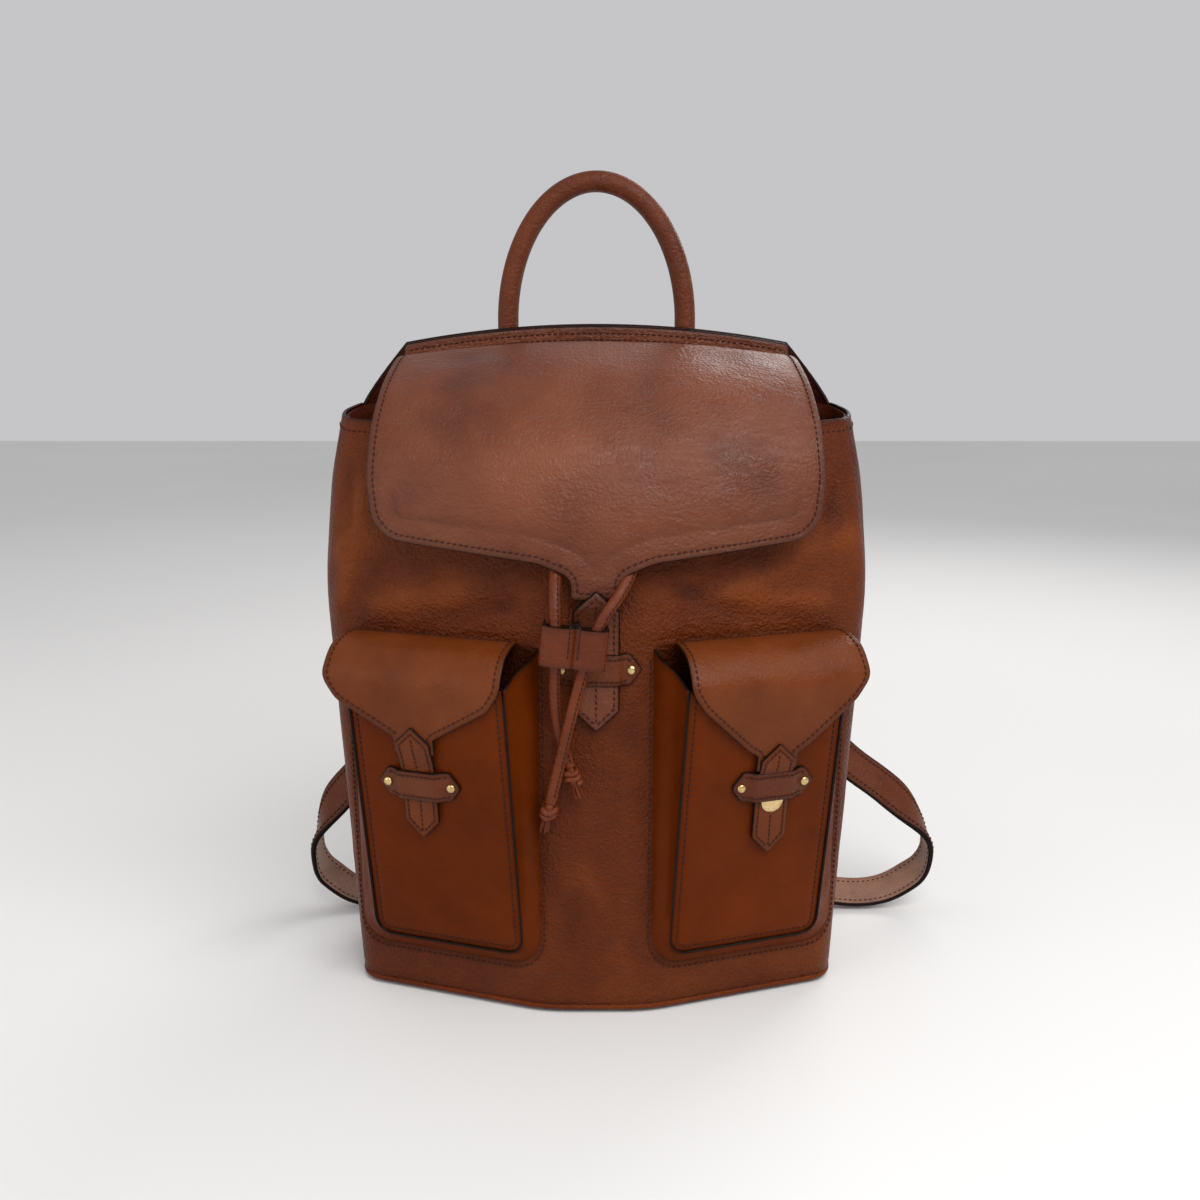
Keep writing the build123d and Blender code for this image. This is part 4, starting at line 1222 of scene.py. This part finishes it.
facing_piece = shell("mouth_facing_skin", [z * mm for z in (285, 298, 310, 316)], 2.1 * mm, 1.3 * mm,
                     mouth_leather, lambda y: 327.6 * mm + (y - 47.3 * mm) * (13 / 91.3))
belongs(facing_piece, "bag", "leather", "mouth_facing")
lining_levels = [z * mm for z in (8, 40, 80, 120, 160, 200, 236, 262, 283)]
lining_wall = shell("lining_wall", lining_levels, 3.8 * mm, 0.9 * mm, lining_material)
belongs(lining_wall, "bag", "lining", "main_lining")
floor_line = ring_at(8 * mm, 4.0 * mm)
lining_floor = sheet("lining_floor", floor_line, lambda u, v: np.stack([u, v, np.full(len(u), 6.4 * mm)], 1),
                     0.9 * mm, 9 * mm, lining_material, rim=lining_material, burnish_and_shade_reach=3 * mm)
belongs(lining_floor, "bag", "lining")

# %% Base
base_line = ring_at(7 * mm, 4.6 * mm)
base_skin = sheet("base_skin", base_line, lambda u, v: np.stack([u, v, np.full(len(u), 0.1 * mm)], 1),
                  2.0 * mm, 8 * mm, body_leather, side=-1, groove=[(3.5 * mm, 0.2 * mm)], burnish_and_shade_reach=6 * mm)
belongs(base_skin, "bag", "leather", "base_panel")


def steady_frames(line, up, closed=False):
    """At each point of a line: its direction, and two directions across it that don't spin."""
    run = (np.roll(line, -1, 0) - np.roll(line, 1, 0)) if closed else np.gradient(line, axis=0)
    run /= np.maximum(np.linalg.norm(run, axis=1), 1e-12)[:, None]
    across, ups = [], []
    up = np.array(up, float)
    for way in run:
        side_way = np.cross(way, up)
        side_way /= np.linalg.norm(side_way)
        up = np.cross(side_way, way)
        across.append(side_way)
        ups.append(up)
    return run, np.array(across), np.array(ups)


def tube(name, line, wide, material, thick=None, up=(0, 0, 1), closed=False, spokes=12, caps=True):
    """A tube along points, round or oval; its widths may change from point to point."""
    line = np.asarray(line, float)
    _, across, ups = steady_frames(line, up, closed)
    wide = np.broadcast_to(wide, len(line))
    thick = wide if thick is None else np.broadcast_to(thick, len(line))
    turns = 2 * pi * np.arange(spokes) / spokes
    rows = [
        [tuple(at + w * cos(t) * a + h * sin(t) * u) for t in turns]
        for at, a, u, w, h in zip(line, across, ups, wide, thick)
    ]
    return band_mesh(name, rows, [material], closed_run=closed, caps=caps)


piping_line = ring_at(3.6 * mm, 0.9 * mm, 220)
piping_line = np.hstack([piping_line, np.full((len(piping_line), 1), 3.2 * mm)])
piping = tube("base_piping_cord", piping_line, 1.7 * mm, body_leather, closed=True)
belongs(piping, "bag", "leather", "base_piping")

# %% [markdown]
# ## Top band and main flap
# The flap is one wide sheet that falls from the band in a long curve and ends in a narrow neck. A groove
# runs above its lower stitching. Its own tongue slips under the centre keeper.

# %% Top band
band_points = np.array([(36.2, 346), (34.9, 369.9)]) * mm


def band_place(x, z):
    fall = 10 * mm * (np.abs(x) / (108.5 * mm)) ** 2
    y = np.interp(z, band_points[:, 1], band_points[:, 0])
    return np.stack([x, y, z - fall], 1)


band_outline = walk(rounded(np.array([(-110.6, 349.9), (110.6, 349.9), (108.6, 369.9), (-108.6, 369.9)]) * mm,
                            [2 * mm] * 4), 2 * mm)
band_skin = sheet("top_band_skin", band_outline, band_place, 2.8 * mm, 2.6 * mm, flap_leather,
                  side=1, groove=[(2.8 * mm, 0.2 * mm)], burnish_and_shade_reach=5 * mm)
belongs(band_skin, "bag", "leather", "top_band")
across_band = np.linspace(-107, 107, 80) * mm
band_lines = [np.stack([across_band, np.full(80, z * mm)], 1) for z in (363.0, 366.6)]
belongs(stitch_row("top_band_stitches", band_lines, band_place), "bag", "leather")

# %% Main flap
fall_of_flap = Profile([(34.4, 362.2), (24, 362.2), (10, 359.5), (-25, 342.5), (-54, 315), (-67.5, 285),
                        (-70.6, 255), (-70.2, 231.5)])


def flap_place(x, d):
    y, z = fall_of_flap.at(d)
    down = np.clip(d / fall_of_flap.length, 0, 1)
    s2 = (x / (119 * mm)) ** 2
    y = y + 25 * mm * s2 * np.minimum(1, 1.25 * down) ** 1.5
    z = z - 10 * mm * s2 * (1 - down)
    return np.stack([x, y, z], 1)


def flap_reach(x, z):
    """How far down the flap a height lies, at a distance from its middle."""
    d = np.linspace(0, fall_of_flap.length, 400)
    heights_there = flap_place(np.full(400, x), d)[:, 2]
    return float(np.interp(-z, -heights_there, d))


flap_corners = [(-106.5, 0.5), (-111, 352), (-117, 320), (-118.8, 292), (-115.5, 262.5), (-30, 252.5),
                (-12.6, 245.5), (-12.6, 233.8)]
flap_turns = [2, 30, 40, 40, 19, 22, 10, 1.5]
flat = []
for x, z in flap_corners:
    flat.append((x * mm, z * mm if z < 1 else flap_reach(x * mm, z * mm)))
flat = flat + [(-x, d) for x, d in flat[::-1]]
flap_outline = walk(rounded(flat, [t * mm for t in flap_turns + flap_turns[::-1]]), 2.2 * mm)
flap_folds = [
    ((-70, 110), (30, 128), 26, 0.9), ((-90, 60), (-20, 72), 18, -0.7), ((20, 52), (96, 66), 16, 0.7),
    ((44, 96), (104, 128), 18, -0.8), ((-104, 96), (-70, 146), 15, 0.7), ((-10, 150), (50, 132), 14, 0.7),
]


def flap_relief(flat, room):
    lift = swell(flat, 18, 1.3, 21.0) + swell(flat, 48, 0.6, 5.0)
    for start, end, width, height in flap_folds:
        lift = lift + ridge(flat, start, end, width, height)
    return lift * room


def flap_crease(flat):
    """The pressed line above the lower stitching."""
    gap = distance_to(flat, [flap_outline])
    low = smooth_step((flat[:, 1] - 128 * mm) / (10 * mm))
    return -0.6 * mm * np.exp(-((gap - 13 * mm) / (1.1 * mm)) ** 2) * low


main_flap = sheet("main_flap_skin", flap_outline, flap_place, 1.6 * mm, 4.2 * mm, flap_leather, side=-1,
                  groove=[(3.2 * mm, 0.2 * mm), (13 * mm, 0.0)], burnish_and_shade_reach=8 * mm,
                  relief=lambda flat, room: flap_relief(flat, room) + flap_crease(flat))
root_at, free_at = (0, 0.0346, 0.3620), (0, 0.0180, 0.3605)
bends(main_flap, "bag", "flap", root_at, free_at, "flap_leather", "main_flap")
flap_lines = inset_lines(flap_outline, 3.2 * mm, lambda x, d: d > 12 * mm)
flap_stitches = stitch_row("main_flap_stitches", flap_lines, flap_place, -1)
bends(flap_stitches, "bag", "flap", root_at, free_at, "flap_leather")
flap_under = sheet("main_flap_under", walk(shrunk(anticlockwise(flap_outline), 2 * mm), 3 * mm),
                   behind(flap_place, -1, 1.7 * mm), 0.6 * mm, 6 * mm, lining_material, rim=lining_material,
                   side=-1, burnish_and_shade_reach=3 * mm, relief=lambda flat, room: flap_relief(flat, room))
bends(flap_under, "bag", "flap", root_at, free_at, "lining", "main_flap_lining")

# %% Main tongue and keeper
drop = np.array([(73.5, 240), (73.5, 232.5), (69.6, 223), (67.0, 213), (65.9, 206), (65.7, 195), (66.0, 180),
                 (66.8, 162)]) * mm


def tongue_place(x, z):
    y = np.mean([np.interp(-(z + k * mm), -drop[:, 1], drop[:, 0]) for k in (-3, -1.5, 0, 1.5, 3)], 0)
    return np.stack([x, -y, z], 1)


outline = chevron_tongue(11.5, 238, 227, 174, 163)
tongue = sheet("main_tongue_skin", outline, tongue_place, 2.6 * mm, 1.7 * mm, flap_leather, side=1,
               groove=[(2.2 * mm, 0.18 * mm)], burnish_and_shade_reach=3.5 * mm)
belongs(tongue, "flap", "flap_leather", "main_flap_tongue")
lines = inset_lines(outline, 2.2 * mm) + [np.array([(0, 167 * mm), (0, 233 * mm)])]
belongs(stitch_row("main_tongue_stitches", lines, tongue_place), "flap", "flap_leather")


def on_centre(u, v, n):
    return np.stack([u, front_y - n, 195.5 * mm + v], 1)


keeper("centre_keeper_band", on_centre, 1, 4.4, "centre_keeper")
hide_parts("keeper_rivets")
print("flap and band made")

# %% [markdown]
# ## Eyelets and drawstring
# The cord is drawn as a NURBS line through the route of the model. We read its points back and
# lay a flat, rolled lace along them. Both free ends come out of the middle eyelets, pass the slider and
# end in an overhand knot with a cut fringe.


# %% Eyelets
def eyelet_frame(x):
    lean = (x / abs(x)) * slant if abs(x) > front_flat_half else 0.0
    y = -49.597 * mm + max(abs(x) - front_flat_half, 0) * slant
    facing = Vector((lean, -1, 0.1513)).normalized()
    return Vector((x, y, eyelet_z)), facing


ring_profile = [(3.2, -4.3), (3.2, 0.9), (3.6, 1.1), (4.8, 1.2), (5.8, 0.7), (6.0, 0.0), (4.0, -0.1),
                (3.9, -3.4), (6.0, -3.6), (5.8, -4.2), (4.6, -4.6), (3.6, -4.5)]
for number, x in enumerate(eyelet_xs):
    at, facing = eyelet_frame(x)
    frame_at = Matrix.Translation(at) @ facing.to_track_quat("Z", "Y").to_matrix().to_4x4()
    profile = [(r * mm, h * mm) for r, h in ring_profile]
    ring = turned(f"eyelet_{number}", profile, frame_at, brass, closed=True)
    belongs(ring, "bag", "brass", *(["drawstring_eyelets"] if number == 0 else []))


# %% Cords
def nurbs_points(points, resolution=16):
    """Points along a NURBS line through a route."""
    data = bpy.data.curves.new("route", "CURVE")
    data.dimensions = "3D"
    data.resolution_u = resolution
    spline = data.splines.new("NURBS")
    spline.points.add(len(points) - 1)
    for point, at in zip(spline.points, points):
        point.co = (*at, 1)
    spline.order_u = 3
    spline.use_endpoint_u = True
    holder = bpy.data.objects.new("route", data)
    mesh = bpy.data.meshes.new_from_object(holder)
    line = np.array([tuple(v.co) for v in mesh.vertices])
    bpy.data.objects.remove(holder)
    bpy.data.curves.remove(data)
    bpy.data.meshes.remove(mesh)
    return line


def evenly(line, step):
    along = np.concatenate([[0], np.cumsum(np.linalg.norm(np.diff(line, axis=0), axis=1))])
    at = np.linspace(0, along[-1], int(along[-1] / step) + 1)
    return np.stack([np.interp(at, along, line[:, k]) for k in range(3)], 1), along[-1]


free_routes = {
    "right": [(20, -59.6, 286), (20, -62, 264), (19.4, -62.9, 250), (13, -74.6, 238), (3.3, -79.6, 226.5),
              (-3.4, -79.7, 209), (-10.5, -77.4, 184), (-17.5, -74.6, 154), (-24.2, -70.2, 124.5)],
    "left": [(-20, -59.6, 286), (-20, -62, 264), (-20.6, -63.4, 250.5), (-20.9, -73.4, 239),
             (-20.5, -79.3, 226.5), (-20.2, -79.7, 209), (-21.6, -73.6, 184), (-19.4, -67.2, 161),
             (-13.6, -68.6, 143.5)],
}


def knot_and_fringe(side, end, way):
    """An overhand knot past the end of a lace, and the strands that hang from it."""
    way = Vector(way).normalized()
    frame_at = Matrix.Translation(Vector(end)) @ way.to_track_quat("Z", "X").to_matrix().to_4x4()
    knot_line = []
    for k in range(64):
        t = k / 63
        turn = 2 * pi * 2.15 * t
        radius = (3.0 + 0.5 * sin(3 * turn)) * mm
        knot_line.append(frame_at @ Vector((radius * cos(turn), radius * sin(turn),
                                            (1.6 + 5.6 * t + 0.8 * sin(turn * 2)) * mm)))
    knot = tube(f"knot_{side}", knot_line, 2.0 * mm, lace_leather, 1.5 * mm, up=way.orthogonal(), spokes=10)
    belongs(knot, "bag", "leather", f"cord_knot_{side}")
    core = [frame_at @ Vector((0, 0, z * mm)) for z in (-0.5, 2, 4.5, 7, 9.5)]
    belongs(tube(f"knot_core_{side}", core, np.array([2.2, 2.9, 3.1, 2.9, 1.8]) * mm, lace_leather,
                 up=way.orthogonal()), "bag", "leather")
    verts, faces = [], []
    for strand in range(9):
        turn = 2 * pi * strand / 9 + 0.3 * sin(strand * 5)
        reach = (6.4 + 2.2 * abs(sin(strand * 7.0))) * mm
        spread = (1.0 + 0.5 * sin(strand * 3.0)) * mm
        first = len(verts)
        for k in range(5):
            t = k / 4
            out_by = (1.5 * mm + spread * t * (1.3 - 0.4 * t))
            middle_at = Vector((out_by * cos(turn), out_by * sin(turn), 7.6 * mm + reach * t))
            along = Vector((-sin(turn), cos(turn), 0)) * 0.75 * mm * (1 - 0.35 * t)
            skin = Vector((cos(turn), sin(turn), 0)) * 0.35 * mm
            for corner in (along + skin, -along + skin, -along - skin, along - skin):
                verts.append(frame_at @ (middle_at + corner))
        for k in range(4):
            for c in range(4):
                a, b = first + k * 4 + c, first + k * 4 + (c + 1) % 4
                faces.append((a, b, b + 4, a + 4))
        faces.append(tuple(first + 16 + k for k in range(4)))
        faces.append(tuple(first + k for k in reversed(range(4))))
    fringe = mesh_piece(f"fringe_{side}", verts, faces, [lace_leather], smooth=False)
    return knot, belongs(fringe, "bag", "leather")


for side, sign in sides.items():
    at, facing = eyelet_frame(sign * 20 * mm)
    route = [tuple(at), tuple(at + facing * 5.2 * mm)] + [tuple(c * mm for c in p) for p in free_routes[side]]
    line, length = evenly(nurbs_points(route), 1.2 * mm)
    share = np.linspace(0, 1, len(line))
    opened = smooth_step((share * length - 7 * mm) / (14 * mm))
    wide, thick = (2.5 + 0.6 * opened) * mm, (2.5 - 0.6 * opened) * mm
    run, across, ups = steady_frames(line[::-1], (0, -1, 0))
    across, ups = across[::-1], ups[::-1]
    turns = 2 * pi * np.arange(14) / 14
    rows = [
        [tuple(p + w * cos(t) * a + h * sin(t) * u) for t in turns]
        for p, a, u, w, h in zip(line, across, ups, wide, thick)
    ]
    lace = band_mesh(f"lace_{side}", rows, [lace_leather])
    belongs(lace, "bag", "leather", f"drawstring_end_{side}")
    knot, fringe = knot_and_fringe(side, line[-1], line[-1] - line[-3])
    print(side, "lace:", round(float(length), 4), "m")

    at_line = np.arange(len(line)) * length / (len(line) - 1)

    def lace_place(a, b, line=line, across=across, ups=ups, wide=wide, thick=thick, at_line=at_line):
        middle_at = np.stack([np.interp(a, at_line, line[:, k]) for k in range(3)], 1)
        side_way = np.stack([np.interp(a, at_line, across[:, k]) for k in range(3)], 1)
        up_way = np.stack([np.interp(a, at_line, ups[:, k]) for k in range(3)], 1)
        w, h = np.interp(a, at_line, wide), np.interp(a, at_line, thick)
        lifted = h * np.sqrt(np.clip(1 - (b / w) ** 2, 0.02, 1))
        return middle_at + side_way * b[:, None] + up_way * lifted[:, None]

    stitched = np.array([(34 * mm, 1.5 * mm), (float(length) - 3 * mm, 1.5 * mm)])
    facing_side = 1 if facing_of(lace_place, stitched[1:], 1)[0] @ ups[-3] > 0 else -1
    belongs(stitch_row(f"lace_stitches_{side}", [stitched], lace_place, facing_side, pitch=2.8 * mm),
            "bag", "leather")

inward, outward = -8.6 * mm, 5.2 * mm
loop_sides = {}
for sign in (-1, 1):
    spots = [eyelet_frame(sign * x * mm) for x in (20, 62, 110)]
    stops = [(0, 0.0), (0, inward), (1, inward), (1, outward), (2, outward), (2, inward)]
    loop_sides[sign] = [tuple(spots[k][0] + spots[k][1] * n) for k, n in stops]
round_back = [(-124, 18, 298), (-102, 38.2, 298), (-40, 40.2, 298), (40, 39.2, 298), (102, 38.2, 298),
              (124, 18, 298)]
loop_route = loop_sides[-1] + [tuple(c * mm for c in p) for p in round_back] + loop_sides[1][::-1]
loop_line = evenly(nurbs_points(loop_route), 2 * mm)[0]
loop = tube("drawstring_inside", loop_line, 2.5 * mm, lace_leather)
belongs(loop, "bag", "leather", "drawstring_loop")

# %% [markdown]
# ## Slider
# Two short leather loops sewn back to back hold the laces together. Its section is two soft lobes with a
# pinch between them and a channel through each; `sheet` can build it, standing the thickness on end.

# %% Slider
slider_frame = Matrix.Translation(Vector((-11, -79.5, 214.5)) * mm) @ Matrix.Rotation(radians(6), 4, "Y")


def lobe(x):
    """Half the slider's thickness, out from the middle."""
    t = np.clip(np.abs(x) / (17 * mm), 0, 1)
    return (1.7 + 3.5 * np.clip(np.sin(pi * np.clip(t * 0.98 + 0.02, 0, 1)), 0, 1) ** 0.62) * mm


lobe_x = np.linspace(-17, 17, 61) * mm
lobes = np.vstack([np.stack([lobe_x, -lobe(lobe_x)], 1), np.stack([lobe_x[::-1], lobe(lobe_x[::-1])], 1)])
channels = []
for middle_x in (-8.6, 8.6):
    channels.append(rounded(np.array([(middle_x - 6.3, -3.6), (middle_x + 6.3, -3.6), (middle_x + 6.3, 3.6),
                                      (middle_x - 6.3, 3.6)]) * mm, 2.8 * mm))


def slider_place(x, y):
    return np.array([tuple(slider_frame @ Vector((a, b, 10.2 * mm))) for a, b in zip(x, y)])


slider = sheet("slider_loops", walk(lobes, 1.2 * mm), slider_place, 20.4 * mm, 1.6 * mm, painted_edge,
               painted_edge, lace_leather, holes=[walk(c, 1.2 * mm) for c in channels], round_edge=0.0,
               burnish_and_shade_reach=2 * mm)
slider.data.set_sharp_from_angle(angle=radians(40))
belongs(slider, "slider", "leather", "cord_slider")


def slider_face(x, z):
    return np.array([tuple(slider_frame @ Vector((a, -lobe(a), c))) for a, c in zip(x, z)])


seams = [np.array([(x * mm, -8.8 * mm), (x * mm, 8.8 * mm)]) for x in (-2.5, 2.5)]
belongs(stitch_row("slider_stitches", seams, slider_face, 1, pitch=2.5 * mm), "slider", "leather")

# %% [markdown]
# ## Handle and straps
# The handle is leather rolled round a core. Each strap is a sheet on a twisting line.

# %% Handle
handle_y, pivot_z, apex_z, half_span = 49 * mm, 373 * mm, 450.6 * mm, 51 * mm
rise = np.linspace(354, 373, 9) * mm
arch = [(-half_span * cos(t), handle_y, pivot_z + (apex_z - pivot_z) * sin(t))
        for t in np.linspace(0, pi, 97)]
handle_line = [(-half_span, handle_y, z) for z in rise[:-1]] + arch
handle_line += [(half_span, handle_y, z) for z in rise[:-1][::-1]]
handle_line, handle_length = evenly(np.array(handle_line), 2 * mm)
_, handle_across, handle_ups = steady_frames(handle_line, (0, -1, 0))
turns = 2 * pi * np.arange(28) / 28
seam_dip = 0.55 * mm * np.exp(-((np.abs(turns - pi) / 0.16) ** 2))
handle_rows = []
for number, (p, a, u) in enumerate(zip(handle_line, handle_across, handle_ups)):
    wave = 1 + 0.012 * noise.noise(Vector(p) * 60)
    handle_rows.append([tuple(p + (6 * mm * wave - dip) * (cos(t) * a + sin(t) * u))
                        for t, dip in zip(turns, seam_dip)])
handle = band_mesh("handle_rolled", handle_rows, [strap_leather])
root_at, free_at = (0, handle_y, 0.3655), (0, handle_y, 0.387)
bends(handle, "bag", "handle", root_at, free_at, "leather", "handle_cover", "handle_core")


def handle_place(a, b):
    at_line = np.linspace(0, handle_length, len(handle_line))
    pick = [np.stack([np.interp(a, at_line, part[:, k]) for k in range(3)], 1)
            for part in (handle_line, handle_across, handle_ups)]
    turn = pi + 0.42 + b / (6 * mm)
    return pick[0] + 6.02 * mm * (np.cos(turn)[:, None] * pick[1] + np.sin(turn)[:, None] * pick[2])


# %% Handle stitches and root tabs
seam_line = np.array([(4 * mm, 0.0), (handle_length - 4 * mm, 0.0)])
middle_spot = np.array([(handle_length / 2, 0.0)])
outward_there = handle_place(middle_spot[:, 0], middle_spot[:, 1])[0] - handle_line[len(handle_line) // 2]
way = 1 if facing_of(handle_place, middle_spot, 1)[0] @ outward_there > 0 else -1
handle_stitches = stitch_row("handle_stitches", [seam_line], handle_place, way, pitch=3.1 * mm)
bends(handle_stitches, "bag", "handle", root_at, free_at, "leather")
for side, sign in sides.items():
    tab_outline = walk(rounded([((sign * 51 + a) * mm, z * mm) for a, z in
                                ((-12, 306), (12, 306), (12, 352), (5, 359), (-5, 359), (-12, 352))],
                               [5 * mm, 5 * mm, 3 * mm, 2 * mm, 2 * mm, 3 * mm]), 1.8 * mm)
    tab_place = behind(on_back, -1, -3.1 * mm)
    tab = sheet(f"handle_tab_{side}", tab_outline, tab_place, 3.0 * mm, 2.4 * mm, strap_leather, side=-1,
                groove=[(2.6 * mm, 0.2 * mm)], burnish_and_shade_reach=4 * mm)
    belongs(tab, "bag", "leather", f"handle_root_{side}")
    belongs(stitch_row(f"handle_tab_stitches_{side}", inset_lines(tab_outline, 2.6 * mm), tab_place, -1),
            "bag", "leather")

# %% Straps
strap_routes = {
    "left": [(-16, 332), (-16, 296), (-78, 214), (-112, 156), (-142, 102), (-176, 66), (-186, 34), (-163, 4),
             (-132, 4), (-116, 18)],
    "right": [(16, 332), (16, 296), (78, 214), (114, 158), (150, 106), (196, 74), (222, 40), (196, 5),
              (150, 3), (118, 16)],
}
strap_half, strap_thick, strap_y = 10.5 * mm, 3.2 * mm, 75.9 * mm
for side, sign in sides.items():
    route = [(x * mm, strap_y, z * mm) for x, z in strap_routes[side]]
    line, length = evenly(nurbs_points(route, 24), 2 * mm)
    at_line = np.linspace(0, length, len(line))
    run = np.gradient(line, axis=0)
    run /= np.linalg.norm(run, axis=1)[:, None]
    outer = sign * np.stack([-run[:, 2], np.zeros(len(run)), run[:, 0]], 1)
    height, width_x = line[:, 2], np.abs(line[:, 0])
    past = np.arange(len(line)) / len(line)
    knee = past[np.argmax(width_x)]
    upper = smooth_step((0.175 - height) / 0.05) * smooth_step((knee - past) / 0.10)
    lower = smooth_step((past - knee) / 0.06) * smooth_step((0.985 - past) / 0.05)
    twist = radians(58) * upper - radians(24) * lower
    twist = twist + np.array([radians(4) * noise.noise(Vector((a * 22, sign * 3.0, 1.0))) for a in at_line])
    lifted = 3.4 * mm * lower * smooth_step((30 * mm - height) / (20 * mm))
    line = line + np.stack([np.zeros(len(line)), np.zeros(len(line)), lifted], 1)
    width_way = np.cos(twist)[:, None] * np.array([0, 1.0, 0]) + np.sin(twist)[:, None] * outer
    skin_way = np.cos(twist)[:, None] * outer - np.sin(twist)[:, None] * np.array([0, 1.0, 0])

    def strap_place(a, b, line=line, at_line=at_line, width_way=width_way, skin_way=skin_way):
        pick = [np.stack([np.interp(a, at_line, part[:, k]) for k in range(3)], 1)
                for part in (line, width_way, skin_way)]
        return pick[0] + pick[1] * b[:, None] + pick[2] * (strap_thick / 2)

    corners = [(0.001, -strap_half), (length - 0.001, -strap_half), (length - 0.001, strap_half),
               (0.001, strap_half)]
    outline = walk(rounded(corners, 2 * mm), 2.6 * mm)
    strap = sheet(f"strap_{side}", outline, strap_place, strap_thick, 3.4 * mm, strap_leather, flesh_side,
                  side=sign, groove=[(2.8 * mm, 0.22 * mm)], burnish_and_shade_reach=4 * mm)
    belongs(strap, "bag", "leather", f"shoulder_strap_{side}", f"lower_strap_{side}")
    lines = inset_lines(outline, 2.8 * mm)
    belongs(stitch_row(f"strap_stitches_{side}", lines, strap_place, sign), "bag", "leather")
    belongs(stitch_row(f"strap_stitches_under_{side}", lines, behind(strap_place, sign, strap_thick), -sign),
            "bag", "leather")

    split = np.array(strap_routes[side][2:4]).mean(0) * mm
    near = int(np.argmin(np.linalg.norm(line[:, [0, 2]] - split, axis=1)))
    middle_at, a_way, b_way = line[near], outer[near], np.array([0, 1.0, 0])
    corners = [(-3.2, -12.2), (3.2, -12.2), (3.2, 12.2), (-3.2, 12.2)]
    loop_flat = walk(rounded(np.array(corners) * mm, 2 * mm), 1.2 * mm)
    ring_line = [middle_at + a_way * p + b_way * q for p, q in loop_flat]
    ring = tube(f"strap_ring_wire_{side}", ring_line, 1.0 * mm, brass, up=tuple(run[near]), closed=True)
    belongs(ring, "bag", "brass", f"strap_ring_{side}")

    foot_x = strap_routes[side][-1][0]
    foot_outline = walk(rounded([((foot_x + a) * mm, (17 + b) * mm) for a, b in
                                 ((-9, -9), (9, -9), (9, 9), (-9, 9))], 2.5 * mm), 1.8 * mm)
    foot = sheet(f"strap_patch_{side}", foot_outline, behind(on_back, -1, -3.3 * mm), 3.2 * mm, 2.6 * mm,
                 strap_leather, side=-1, groove=[(2.4 * mm, 0.2 * mm)], burnish_and_shade_reach=4 * mm)
    belongs(foot, "bag", "leather", f"strap_foot_{side}")

anchor_outline = walk(rounded(np.array([(-30, 47.6), (30, 47.6), (30, 86.4), (-30, 86.4)]) * mm,
                              [1 * mm, 1 * mm, 4 * mm, 4 * mm]), 2 * mm)
anchor = sheet("strap_anchor_block", anchor_outline,
               lambda u, v: np.stack([u, v, np.full(len(u), 336 * mm)], 1), 8 * mm, 3 * mm, strap_leather,
               strap_leather, strap_leather, round_edge=0.25, burnish_and_shade_reach=4 * mm, groove=[(3 * mm, 0.2 * mm)])
belongs(anchor, "bag", "leather", "strap_anchor")
print("handle and straps made")

# %% [markdown]
# ## Inside, under the flap
# A few pieces of the frame are seen only when a pocket or the mouth is opened. They keep their
# shape and only need a finish.

# %% Finishes for the plain pieces
plain = {"pocket_back_left": pocket_leather, "pocket_back_right": pocket_leather,
         "pocket_snap_posts": brass, "base_board": lining_material, "keeper_rivets": brass}
for node, material in plain.items():
    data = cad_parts[node].data
    data.materials.clear()
    data.materials.append(material)
